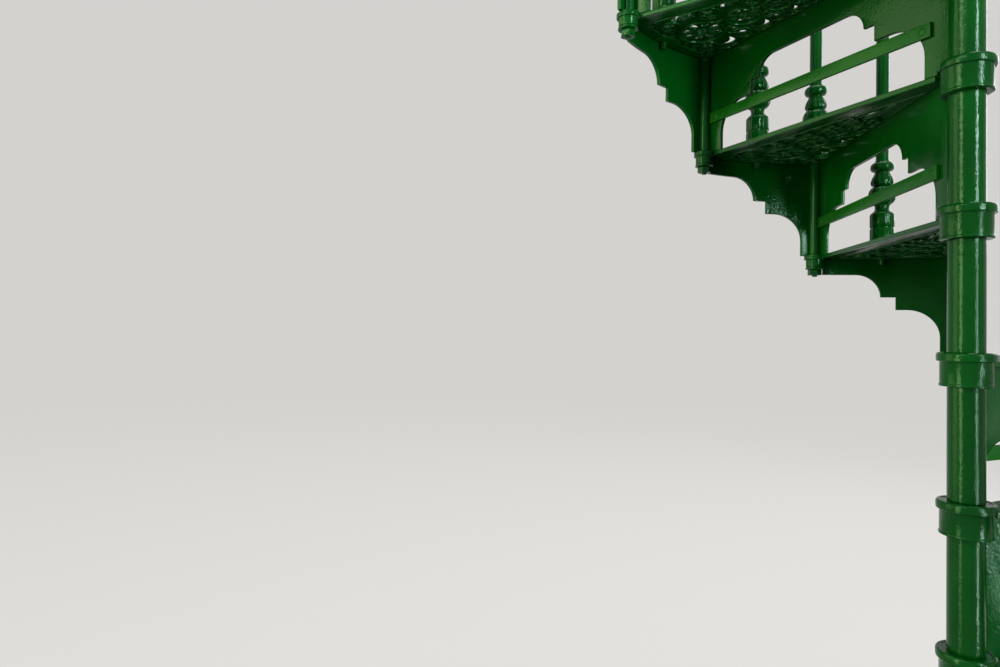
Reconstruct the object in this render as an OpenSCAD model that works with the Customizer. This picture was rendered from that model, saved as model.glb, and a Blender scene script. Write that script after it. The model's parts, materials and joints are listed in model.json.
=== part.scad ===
// Cast-iron spiral stair: nine pierced treads and a quarter landing round a sleeved column.
// Millimetres, +Z up. The origin is on the column's axis, at floor level.
// Seen from above, the flight climbs counter-clockwise from the -Y direction.

/* [Flight] */
// Rise from one tread to the next
rise = 230; // [210:1:250]
// Radius from the column's axis to the corner bolts of the treads
corner_r = 570; // [520:1:640]
// Angle that the quarter landing covers
landing_angle = 90; // [60:15:90]

/* [Column] */
// Radius of the round bar that threads every hub together
pole_r = 19; // [15:0.5:20]
// Outer radius of the spacer sleeves
sleeve_r = 25.5; // [25:0.5:30]
// Wall of the spacer sleeves
sleeve_wall = 4; // [2.5:0.5:5]
// Radius of the hub collar under each tread
collar_r = 35.5; // [33:0.5:38]
// Height of the hub collar, down from the tread's top
collar_h = 40; // [25:1:60]
// Radius of the ring on top of each hub
flange_r = 40; // [39:0.5:48]
// Height of the ring on top of each hub
flange_h = 13; // [8:1:20]

/* [Treads] */
// Thickness of the tread's rim
plate_t = 9.5; // [8:0.5:14]
// Thickness of the pierced field inside the rim
field_t = 6; // [4:0.5:7.5]
// Width of the plain rim round the pierced field
rim_w = 34; // [24:1:45]
// How far the tread runs past the corner bolts
overhang = 14; // [8:1:24]
// How far the tread's front edge runs past its riser
nosing = 20; // [10:1:30]
// Radius of the lug at the back corner
lug_r = 24; // [21:0.5:28]
// Radius of the lug at the front corner
front_lug_r = 30; // [28:0.5:36]
// Radius of the small lugs that carry the balusters between the corners
middle_lug_r = 30; // [28.5:0.5:34]
// Radius of the boss under the back corner
boss_r = 19.5; // [15:0.5:20.5]
// Height of the boss under the back corner
boss_h = 24; // [12:1:40]
// Back edge's distance before the corner bolt
edge_corner = 8; // [2:0.5:9]
// Back edge's distance past the column's centre line, at the hub
edge_hub = 15; // [8:0.5:18]

/* [Risers] */
// Thickness of the riser plates
riser_t = 8; // [5:0.5:12]
// Width of the riser's leg at the corner
riser_leg = 44; // [30:1:60]
// Distance from the column's axis to the near side of the riser's opening
opening_near = 57; // [52:1:70]
// Height of the riser's opening
opening_h = 168; // [150:1:180]
// Radius of the lower cove in each upper corner of the opening
low_cove_r = 62; // [40:1:66]
// Radius of the upper cove in each upper corner of the opening
high_cove_r = 38; // [24:1:40]
// Width of the square step between the two coves
step_w = 28; // [16:1:36]
// Height of the square step between the two coves
step_h = 30; // [16:1:34]
// Width of the small shelf that the upper cove rests on
shelf_w = 21; // [10:1:26]
// Height of the flat guard bar across the opening
guard_h = 24; // [16:1:30]
// Thickness of the flat guard bar
guard_t = 6; // [4:0.5:8]
// Height of the guard bar's middle over the tread
guard_z = 78; // [60:1:96]

/* [Brackets] */
// Thickness of the curved brackets under the treads' outer edge
bracket_t = 8; // [5:0.5:12]
// Distance from the corner bolts out to the middle of the curved brackets
bracket_off = 8; // [6:0.5:8]
// Depth of a bracket's thin end, under the tread's rim
bracket_thin = 36; // [24:1:44]
// Width of the bracket's leg beside the corner post
bracket_leg = 30; // [20:1:40]
// Radius of the bracket's lower cove
bracket_low_cove = 64; // [40:1:68]
// Width of the small shelf between the lower cove and the step
bracket_shelf = 24; // [10:1:28]
// Width of the bracket's square step
bracket_step_w = 32; // [16:1:36]
// Height of the bracket's square step
bracket_step_h = 30; // [16:1:34]
// Radius of the bracket's upper cove
bracket_high_cove = 54; // [24:1:56]
// Radius of the post cast at the front corner of each bracket
post_r = 12.5; // [10:0.5:14]

/* [Balustrade] */
// Height of the handrail's underside over a tread's front corner
rail_z = 880; // [800:10:1000]
// Radius of the balusters' slender shaft
shaft_r = 14; // [10:0.5:15]
// Radius of the balusters' thick foot
foot_r = 26; // [23:0.5:28]
// Height of the thick foot of a baluster between the corners
middle_foot_h = 97; // [60:1:110]
// Height of the thick foot of a corner baluster
corner_foot_h = 58; // [40:1:110]
// Radius of the round bead over a baluster's foot
bead_r = 29.5; // [27:0.5:33]
// Width of the handrail
rail_w = 52; // [40:1:64]
// Height of the handrail
rail_h = 34; // [24:1:44]

/* [Base] */
// Radius of the floor plate under the column
base_r = 150; // [120:1:200]
// Thickness of the floor plate
base_t = 14; // [10:1:22]
// Radius of the floor plate's four bolt holes
base_hole_r = 7; // [5:0.5:9]

/* [Hidden] */
// Round surfaces are drawn fine enough to look smooth
$fn = 72;
// Clearance of a seated piece
fit = 0.3;
tread_count = 9;
landing_step = tread_count + 1;
// Twelve treads make a whole turn
step_angle = 30;
start_angle = -90;
iron = [0.02, 0.30, 0.12];
iron_dark = [0.01, 0.22, 0.09];
plate_r = corner_r + overhang;
landing_z = landing_step * rise;
half_step = step_angle / 2;
// A tread's back edge isn't radial: it runs from one side of the hub to the other side of the corner
edge_run = corner_r - flange_r;
skew = atan((edge_hub + edge_corner) / edge_run);
edge_len = edge_run / cos(skew);
front_off = riser_t + nosing;
// A hub reaches down by its collar and up by its ring
hub_bore_r = pole_r + fit;
// The riser's outer end stops against the corner post
riser_end = sqrt(pow(post_r + fit, 2) - pow(edge_corner, 2));
riser_h = rise - plate_t;
// The opening's half width, and the ends of its shelves, from its middle out
opening_half = (corner_r - opening_near - riser_leg) / 2;
opening_mid = riser_leg + opening_half;
low_shelf = opening_half - low_cove_r;
high_shelf = low_shelf - step_w;
high_flat = high_shelf - shelf_w - high_cove_r;
low_top = opening_h - high_cove_r - step_h;
bracket_in = corner_r + bracket_off - bracket_t / 2;
// The balusters between the corners stand a little inside them
middle_in = 4;
middle_r = corner_r - middle_in;
// Rosettes of the pierced field
rosettes = 4;
first_ring = 48;
ring_ratio = 0.74;
border_w = 20;
// Two leaves fill the field's narrow end, each this far inside the last rosette
first_leaf_in = 32;
first_leaf_len = 46;
first_leaf_w = 15;
last_leaf_in = 80;
last_leaf_len = 34;
last_leaf_w = 10;
// The plain ring of plate round the hub's collar
hub_rim_w = rim_w - 4;
// A small bead finishes the lower end of a boss
boss_bead = 1.2;
boss_bead_h = 4;
nut_af = 27;
nut_h = 14;
// A bolt's end just clears the bracket beside it
bolt_r = bracket_in - middle_r;
bolt_h = 14;
// Clear space from a riser to the column, and from a bracket to the boss or post beside it
riser_gap = 5;
bracket_gap = 2;
// The landing's skirt stops this many degrees before the straight edge
skirt_back = 3;
// The guard bars stop this far inside the riser's ends
guard_in = 4;
// The floor plate's bolt circle lies this far inside its edge, and its boss has a tapered foot
base_edge = 40;
base_pcd = (base_r - base_edge) * 2;
base_boss_r = collar_r + 10;
base_boss_h = 14;
// The newel's cap is a plate, a tapered neck and a ball sunk a little into it
cap_h = 10;
cap_low_r = sleeve_r + 4;
cap_neck_r = 14;
cap_neck_h = 14;
cap_ball_r = 34;
cap_ball_z = cap_h + cap_neck_h + cap_ball_r * 0.82;
// The bar in the column stops this far under the cap
pole_gap = 6;
pitch = atan(rise / (step_angle * PI / 180 * corner_r));
newel_top = landing_z + rail_z + rail_h;
// A baluster's turnings: the groove's depth under the foot's top, and up from there the neck's height,
// the bead's middle, the vase's lower edge and the disc's widest line
neck_r = shaft_r + 1.5;
groove_z = 32;
neck_h = 14;
bead_z = 46;
bead_h = 43;
bead_round = 14;
vase_z = 69;
vase_h = 29;
disc_z = 113;
// The vase and the disc are a little slimmer than the foot
vase_r = foot_r - 1.5;
disc_r = foot_r - 0.5;
rail_lip = 8;
rail_lengths = 3;
// The landing's last baluster stands wholly on the plate
last_back = asin((middle_lug_r + edge_corner) / middle_r);
landing_posts = [for (a = [half_step:half_step:landing_angle]) min(a, landing_angle - last_back)];

function turn(a, p) = [p[0] * cos(a) - p[1] * sin(a), p[0] * sin(a) + p[1] * cos(a)];
// A point of the plan, given along and across the tread edge that belongs to the radial line at angle a
function edge_point(a, along, across) =
    turn(a, [corner_r, -edge_corner] + turn(-skew, [along, across]));
function step_turn(n) = start_angle + (n - 1) * step_angle;
// Offset of a tread edge from its radial line, at radius r
function edge_off(r) = -edge_corner + (corner_r - r) * tan(skew);

// Places its children along the edge that riser n stands on: the corner post is beyond x = 0
module on_edge(n) {
    rotate([0, 0, step_turn(n)])
        translate([corner_r, -edge_corner, (n - 1) * rise])
            rotate([0, 0, -skew]) children();
}

// Sector plan of a tread whose front corner is at angle 0, shrunk by a margin
module sector_plan(angle, margin, inner) {
    far = 90;
    intersection() {
        circle(plate_r - margin);
        polygon(concat(
            [edge_point(0, -edge_len + inner, -front_off + margin), edge_point(0, far, -front_off + margin)],
            [for (a = [half_step:half_step:angle - half_step]) [(corner_r + far) * 1.1 * cos(a),
                (corner_r + far) * 1.1 * sin(a)]],
            [edge_point(angle, far, -margin), edge_point(angle, -edge_len + inner, -margin)],
            angle > step_angle ? [[0, 0]] : []));
    }
}

// Half the width of the pierced field at radius r, and the angle of its middle line there
function field_low(r) = atan((edge_off(r) - front_off + rim_w) / r);
function field_high(r) = step_angle + atan((edge_off(r) - rim_w) / r);
function field_half(r) = (field_high(r) - field_low(r)) * PI / 360 * r;
function field_mid(r) = (field_low(r) + field_high(r)) / 2;
// Rosettes get smaller towards the hub, and each one just clears the next
function ring_r(k) = first_ring * pow(ring_ratio, k);
function ring_at(k) = k == 0 ? plate_r - rim_w - border_w - first_ring
    : ring_at(k - 1) - 1.17 * (ring_r(k - 1) + ring_r(k));

// Places its children at radius r, and an offset round the tread from the field's middle line
module on_field(r, offset = 0) {
    rotate(field_mid(r) + offset / r * 180 / PI) translate([r, 0]) children();
}

// A pointed leaf between two arcs
module leaf(length, width) {
    r = (length * length + width * width) / (4 * width);
    intersection() {
        translate([0, r - width / 2]) circle(r);
        translate([0, width / 2 - r]) circle(r);
    }
}

// A round eye in a ring of leaves
module rosette(r) {
    petals = 8;
    circle(r * 0.22);
    for (i = [0:petals - 1]) rotate(i * 360 / petals) translate([r * 0.62, 0]) leaf(r * 0.6, r * 0.3);
}

// A horned moon that opens towards the rosette beside it
module moon(r) {
    difference() {
        circle(r);
        translate([r * 0.42, 0]) circle(r * 0.8);
    }
}

// The openings of one tread's field: rosettes, moons beside them, eyes between, a row along the rim
module field_holes() {
    for (k = [0:rosettes - 1]) {
        r = ring_at(k);
        side = (ring_r(k) + field_half(r)) / 2;
        moon_r = 0.4 * (field_half(r) - ring_r(k));
        on_field(r) rosette(ring_r(k));
        on_field(r, side) rotate(-90) moon(moon_r);
        on_field(r, -side) rotate(90) moon(moon_r);
        // Eyes in the gap towards the hub
        gap_r = r - ring_r(k) - 0.08 * ring_r(k);
        for (t = [-0.72, -0.4, 0.4, 0.72])
            on_field(gap_r, t * field_half(gap_r)) circle(field_half(gap_r) * (abs(t) > 0.5 ? 0.1 : 0.075));
    }
    tip = ring_at(rosettes - 1) - ring_r(rosettes - 1);
    on_field(tip - first_leaf_in) leaf(first_leaf_len, first_leaf_w);
    on_field(tip - last_leaf_in) leaf(last_leaf_len, last_leaf_w);
    border_r = plate_r - rim_w - border_w / 2;
    for (t = [-0.88:0.22:0.89]) on_field(border_r, t * field_half(border_r)) circle(border_w * 0.3);
    // Eyes in the two outer corners
    corner_eye = ring_at(0) + first_ring * 0.75;
    for (t = [-0.62, 0.62]) on_field(corner_eye, t * field_half(corner_eye)) circle(first_ring * 0.2);
}

module hub(z) {
    translate([0, 0, z]) difference() {
        union() {
            translate([0, 0, -collar_h]) cylinder(r = collar_r, h = collar_h);
            cylinder(r = flange_r, h = flange_h);
        }
        translate([0, 0, -collar_h - 1]) cylinder(r = hub_bore_r, h = collar_h + flange_h + 2);
    }
}

// posts are the angles of the balusters between the corners
module plate_body(angle, posts, has_boss) {
    difference() {
        translate([0, 0, -plate_t]) linear_extrude(plate_t) difference() {
            union() {
                sector_plan(angle, 0, 0);
                translate([corner_r, 0]) circle(front_lug_r);
                for (a = posts) rotate(a) translate([middle_r, 0]) circle(middle_lug_r);
                if (has_boss) rotate(angle) translate([corner_r, 0]) circle(lug_r);
            }
            circle((hub_bore_r + collar_r) / 2);
            for (a = [0:step_angle:angle - step_angle]) rotate(a) field_holes();
        }
        // The field is thinner than the rim, and level with it on top
        translate([0, 0, -plate_t - 1]) linear_extrude(plate_t - field_t + 1)
            difference() {
                sector_plan(angle, rim_w, flange_r);
                circle(collar_r + hub_rim_w);
            }
    }
    // Boss under the back corner, with a small bead at its lower end
    if (has_boss) rotate([0, 0, angle]) translate([corner_r, 0, -plate_t - boss_h]) {
        cylinder(r = boss_r, h = boss_h + 1);
        cylinder(r = boss_r + boss_bead, h = boss_bead_h);
    }
}

module tread(n) {
    color(iron) {
        hub(n * rise);
        rotate([0, 0, step_turn(n)]) translate([0, 0, n * rise]) plate_body(step_angle, [half_step], true);
    }
}

module landing_plate() {
    color(iron) {
        hub(landing_z);
        rotate([0, 0, step_turn(landing_step)]) translate([0, 0, landing_z])
            plate_body(landing_angle, landing_posts, false);
    }
}

module base_plate() {
    color(iron) difference() {
        union() {
            cylinder(r = base_r, h = base_t);
            cylinder(r1 = base_boss_r + base_boss_h, r2 = base_boss_r, h = base_t + base_boss_h);
            cylinder(r = collar_r, h = collar_h);
        }
        translate([0, 0, -1]) cylinder(r = hub_bore_r, h = collar_h + 2);
        for (a = [45:90:315])
            rotate([0, 0, a]) translate([base_pcd / 2, 0, -1]) cylinder(r = base_hole_r, h = base_t + 2);
    }
}

module centre_pole() {
    color("gray") cylinder(r = pole_r, h = newel_top - pole_gap);
}

// Spacer sleeves fill the column between the hubs
module column_sleeves() {
    color(iron) for (n = [1:landing_step]) {
        low = n == 1 ? collar_h : (n - 1) * rise + flange_h;
        high = n * rise - collar_h;
        translate([0, 0, low]) difference() {
            cylinder(r = sleeve_r, h = high - low);
            translate([0, 0, -1]) cylinder(r = sleeve_r - sleeve_wall, h = high - low + 2);
        }
    }
}

// A quarter of a round, with its corner at the origin
module quarter(r) {
    intersection() {
        circle(r);
        square(r);
    }
}

// Half of the opening's outline, from the middle of its top to the foot of a leg
module opening_half_plan() {
    translate([0, -1]) square([high_flat, opening_h + 1]);
    translate([high_flat, opening_h - high_cove_r]) quarter(high_cove_r);
    translate([0, -1]) square([high_shelf, low_top + step_h + 1]);
    translate([0, -1]) square([low_shelf, low_top + 1]);
    translate([low_shelf, low_top - low_cove_r]) quarter(low_cove_r);
    translate([0, -1]) square([opening_half, low_top - low_cove_r + 1]);
}

module riser(n) {
    color(iron) difference() {
        on_edge(n) rotate([90, 0, 0]) linear_extrude(riser_t) difference() {
            translate([-edge_len - flange_r, 0]) square([edge_len + flange_r - riser_end, riser_h]);
            translate([-opening_mid, 0]) {
                opening_half_plan();
                mirror([1, 0]) opening_half_plan();
            }
        }
        // The inner end clears the column, the ring below and the collar above
        cylinder(r = sleeve_r + riser_gap, h = newel_top);
        translate([0, 0, (n - 1) * rise - 1])
            cylinder(r = (n == 1 ? base_r : flange_r) + fit, h = (n == 1 ? base_t + 1 : flange_h) + 1 + fit);
        translate([0, 0, n * rise - collar_h - fit]) cylinder(r = collar_r + fit, h = collar_h);
    }
}

// Outline of a bracket, drawn flat: x runs back from the corner post, y is the height under the tread
module bracket_plan() {
    cove_end = bracket_leg + bracket_low_cove;
    shelf_end = cove_end + bracket_shelf;
    step_end = shelf_end + bracket_step_w;
    step_y = -bracket_thin - bracket_high_cove;
    cove_y = step_y - bracket_step_h;
    difference() {
        translate([0, -riser_h]) square([corner_r, riser_h]);
        translate([bracket_leg, -riser_h - 1]) square([corner_r, riser_h + 1 + cove_y - bracket_low_cove]);
        translate([cove_end, cove_y - bracket_low_cove]) mirror([1, 0]) quarter(bracket_low_cove);
        translate([cove_end, -riser_h - 1]) square([corner_r, riser_h + 1 + cove_y]);
        translate([shelf_end, -riser_h - 1]) square([corner_r, riser_h + 1 + step_y]);
        translate([step_end + bracket_high_cove, step_y]) mirror([1, 0]) quarter(bracket_high_cove);
        translate([step_end + bracket_high_cove, -riser_h - 1])
            square([corner_r, riser_h + 1 - bracket_thin]);
    }
}

// A curved plate under the tread's outer edge, with the corner post at its deep end
module bracket(n) {
    back = step_angle - asin((boss_r + bracket_gap) / corner_r);
    color(iron_dark) {
        rotate([0, 0, step_turn(n)]) {
            translate([corner_r, 0, (n - 1) * rise]) cylinder(r = post_r, h = riser_h);
            intersection() {
                translate([0, 0, (n - 1) * rise]) rotate_extrude(angle = back)
                    translate([bracket_in, 0]) square([bracket_t, riser_h]);
                rotate([0, 0, half_step]) {
                    half_chord = corner_r * sin(half_step);
                    translate([0, -half_chord, n * rise - plate_t]) rotate([90, 0, 90])
                        linear_extrude(plate_r) bracket_plan();
                }
            }
        }
    }
}

// The thin edge under the rest of the landing's rim
module landing_skirt() {
    start = step_angle + asin((post_r + bracket_gap) / corner_r);
    color(iron_dark) rotate([0, 0, step_turn(landing_step)])
        translate([0, 0, landing_z - plate_t - bracket_thin])
            rotate([0, 0, start]) rotate_extrude(angle = landing_angle - start - skirt_back)
                translate([bracket_in, 0]) square([bracket_t, bracket_thin]);
}

module guard_bars() {
    color(iron) for (n = [1:landing_step]) on_edge(n)
        translate([-edge_len + guard_in, 0, guard_z - guard_h / 2])
            cube([edge_len - riser_end - 2 * guard_in, guard_t, guard_h]);
}

// Hexagon nuts under the bosses clamp post, lug and baluster together; the other balusters end in a bolt
module corner_nuts() {
    color(iron_dark) {
        for (n = [1:tread_count]) {
            rotate([0, 0, step_turn(n + 1)])
                translate([corner_r, 0, n * rise - plate_t - boss_h - nut_h])
                    cylinder(d = nut_af / cos(30), h = nut_h, $fn = 6);
            rotate([0, 0, step_turn(n) + half_step])
                translate([middle_r, 0, n * rise - plate_t - bolt_h]) cylinder(r = bolt_r, h = bolt_h);
        }
        for (a = landing_posts) rotate([0, 0, step_turn(landing_step) + a])
            translate([middle_r, 0, landing_z - plate_t - bolt_h]) cylinder(r = bolt_r, h = bolt_h);
    }
}

// Turned outline of a baluster: foot with a groove, bead, vase and disc, then the shaft up to height h
function baluster_outline(h, foot) = concat(
    [[0, 0], [foot_r - 1, 0], [foot_r, 2], [foot_r, foot - groove_z - 2], [foot_r - 1.5, foot - groove_z],
     [foot_r, foot - groove_z + 2], [foot_r, foot], [foot_r - 4, foot + 5], [neck_r + 2, foot + 8],
     [neck_r, foot + neck_h], [neck_r, foot + neck_h + 8]],
    [for (a = [-70:20:70])
        [bead_r - bead_round + bead_round * cos(a), foot + bead_z + bead_h / 2 * sin(a)]],
    [[neck_r + 2, foot + vase_z], [vase_r - 1, foot + vase_z + 2], [vase_r, foot + vase_z + 6],
     [vase_r - 1, foot + vase_z + 13], [vase_r - 5, foot + vase_z + 22],
     [neck_r + 1, foot + vase_z + vase_h], [neck_r, foot + disc_z - 11],
     [disc_r - 4, foot + disc_z - 8], [disc_r, foot + disc_z], [disc_r - 2, foot + disc_z + 6],
     [disc_r - 6, foot + disc_z + 11], [neck_r, foot + disc_z + 13], [shaft_r, foot + disc_z + 16],
     [shaft_r, h - shaft_r]],
    [for (a = [15:15:90]) [shaft_r * cos(a), h - shaft_r + shaft_r * sin(a)]]);

module baluster(h, foot) {
    rotate_extrude() polygon(baluster_outline(h, foot));
}

// A baluster ends in a ball, which stays clear of the sloping rail by this much less
sloped_gap = (shaft_r + fit) / cos(pitch) - shaft_r;

module corner_balusters() {
    color(iron) for (n = [1:landing_step])
        rotate([0, 0, step_turn(n)]) translate([corner_r, 0, n * rise])
            baluster(rail_z - (n == landing_step ? fit : sloped_gap), corner_foot_h);
}

module middle_balusters() {
    color(iron) for (n = [1:tread_count])
        rotate([0, 0, step_turn(n) + half_step]) translate([middle_r, 0, n * rise])
            baluster(rail_z + rise / 2 - sloped_gap, middle_foot_h);
}

module landing_balusters() {
    color(iron) for (a = landing_posts)
        rotate([0, 0, step_turn(landing_step) + a]) translate([middle_r, 0, landing_z])
            baluster(rail_z - fit, middle_foot_h);
}

// Moulded section of the handrail: flat below, round above
function rail_section() = concat(
    [[-rail_w / 2 + rail_lip, 0], [rail_w / 2 - rail_lip, 0], [rail_w / 2 - rail_lip, rail_h * 0.3],
     [rail_w / 2, rail_h * 0.45]],
    [for (a = [25:26:155]) [rail_w / 2 * cos(a), rail_h * 0.55 + rail_h * 0.45 * sin(a)]],
    [[-rail_w / 2, rail_h * 0.45], [-rail_w / 2 + rail_lip, rail_h * 0.3]]);

// One length of the sloping rail, swept round the column ring by ring
module rail_length(from, to) {
    section = rail_section();
    sides = len(section);
    rings = ceil((to - from) / 7.5);
    points = [for (k = [0:rings]) for (p = section)
        let (a = from + k * (to - from) / rings, r = corner_r + p[0])
            [r * cos(a), r * sin(a), rise + rail_z + rise * (a - start_angle) / step_angle + p[1]]];
    sheets = [for (k = [0:rings - 1]) for (i = [0:sides - 1])
        let (j = (i + 1) % sides) each [
            [k * sides + i, k * sides + j, (k + 1) * sides + j],
            [k * sides + i, (k + 1) * sides + j, (k + 1) * sides + i]]];
    ends = [[for (i = [sides - 1:-1:0]) i], [for (i = [0:sides - 1]) rings * sides + i]];
    polyhedron(points, concat(sheets, ends));
}

// The sloping rail comes in lengths that meet end to end
module handrail() {
    run = tread_count * step_angle / rail_lengths;
    joint = fit / corner_r * 180 / PI;
    color(iron_dark) for (k = [0:rail_lengths - 1])
        rail_length(start_angle + k * run, start_angle + (k + 1) * run - (k < rail_lengths - 1 ? joint : 0));
}

module landing_rail() {
    color(iron_dark) rotate([0, 0, step_turn(landing_step)]) translate([0, 0, landing_z + rail_z])
        rotate_extrude(angle = landing_angle) translate([corner_r, 0]) polygon(rail_section());
}

// The column goes on above the landing as a newel
module newel() {
    low = landing_z + flange_h;
    color(iron) translate([0, 0, low]) difference() {
        cylinder(r = sleeve_r, h = newel_top - low);
        translate([0, 0, -1]) cylinder(r = sleeve_r - sleeve_wall, h = newel_top - low + 2);
    }
}

module newel_cap() {
    color(iron) translate([0, 0, newel_top]) {
        cylinder(r = flange_r, h = cap_h);
        translate([0, 0, cap_h]) cylinder(r1 = cap_low_r, r2 = cap_neck_r, h = cap_neck_h);
        translate([0, 0, cap_ball_z]) sphere(r = cap_ball_r);
    }
}

base_plate();
centre_pole();
column_sleeves();
tread(1);  // tread_1
tread(2);  // tread_2
tread(3);  // tread_3
tread(4);  // tread_4
tread(5);  // tread_5
tread(6);  // tread_6
tread(7);  // tread_7
tread(8);  // tread_8
tread(9);  // tread_9
landing_plate();
riser(1);  // riser_1
riser(2);  // riser_2
riser(3);  // riser_3
riser(4);  // riser_4
riser(5);  // riser_5
riser(6);  // riser_6
riser(7);  // riser_7
riser(8);  // riser_8
riser(9);  // riser_9
riser(10);  // riser_10
bracket(1);  // bracket_1
bracket(2);  // bracket_2
bracket(3);  // bracket_3
bracket(4);  // bracket_4
bracket(5);  // bracket_5
bracket(6);  // bracket_6
bracket(7);  // bracket_7
bracket(8);  // bracket_8
bracket(9);  // bracket_9
bracket(10);  // bracket_10
landing_skirt();
guard_bars();
corner_nuts();
corner_balusters();
middle_balusters();
landing_balusters();
handrail();
landing_rail();
newel();
newel_cap();
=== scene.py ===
"""Looks of a cast-iron spiral stair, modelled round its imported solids.

The frame is that of the solids: +Z up, the column's axis at the origin and the floor at zero.
Sizes are in millimetres, as in the solids' source, and become metres where a mesh is made. Each class
below is one sub-assembly of the stair: it holds its own sizes, builds its meshes and dresses them.
"""

import json
import logging
import math
from dataclasses import dataclass
from enum import Enum
from typing import Iterable, Sequence

import bpy
from mathutils import Matrix, Vector


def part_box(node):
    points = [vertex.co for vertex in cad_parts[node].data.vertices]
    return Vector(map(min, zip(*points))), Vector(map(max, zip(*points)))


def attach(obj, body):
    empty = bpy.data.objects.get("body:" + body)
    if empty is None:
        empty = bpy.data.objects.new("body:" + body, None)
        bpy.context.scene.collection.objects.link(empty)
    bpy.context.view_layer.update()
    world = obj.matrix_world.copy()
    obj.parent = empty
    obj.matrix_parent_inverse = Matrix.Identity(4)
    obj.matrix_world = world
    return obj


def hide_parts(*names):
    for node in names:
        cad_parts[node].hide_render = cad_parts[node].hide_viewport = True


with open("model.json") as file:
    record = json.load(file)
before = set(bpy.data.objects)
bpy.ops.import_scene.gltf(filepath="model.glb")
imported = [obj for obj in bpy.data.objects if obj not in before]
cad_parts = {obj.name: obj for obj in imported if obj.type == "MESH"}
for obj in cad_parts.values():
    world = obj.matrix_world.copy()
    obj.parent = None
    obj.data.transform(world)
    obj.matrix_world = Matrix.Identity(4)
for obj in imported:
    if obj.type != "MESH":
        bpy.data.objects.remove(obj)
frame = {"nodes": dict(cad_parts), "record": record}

Point = tuple[float, float]
Triple = tuple[float, float, float]
Outline = list[Point]
LOG = logging.getLogger("stair")
# The one body of the part
ROOT = "root"
# Metres in a millimetre
MM = 0.001
# Points of a mesh that lie nearer than this, in metres, become one
MERGE = 0.00002
# Attribute of the points of upper faces, which shoes have worn dull
WORN = "worn"
# An open bar's share of its radius at its very end, and what it gains at each point after it
BAR_TIP = 0.45
BAR_GAIN = 0.2


class Slot(Enum):
    """Material slots of the record."""

    IRON = "painted_iron"
    RAIL = "painted_rail"
    FIXINGS = "painted_fixings"
    STEEL = "steel_bar"


def turned(angle: float, point: Point) -> Point:
    """Turns a point of the plan round the origin, by an angle in degrees."""
    c, s = math.cos(math.radians(angle)), math.sin(math.radians(angle))
    return (point[0] * c - point[1] * s, point[0] * s + point[1] * c)


def polar(radius: float, angle: float) -> Point:
    """A point of the plan from its radius and its angle in degrees."""
    return turned(angle, (radius, 0))


def away(centre: Point, distance: float, angle: float) -> Point:
    """A point at a distance from another, in a direction in degrees."""
    x, y = polar(distance, angle)
    return (centre[0] + x, centre[1] + y)


def about(angle: float, radius: float = 0, height: float = 0) -> Matrix:
    """Place at an angle round the column, in degrees, and at a radius and a height."""
    return (Matrix.Rotation(math.radians(angle), 4, "Z")
            @ Matrix.Translation((radius * MM, 0, height * MM)))


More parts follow.
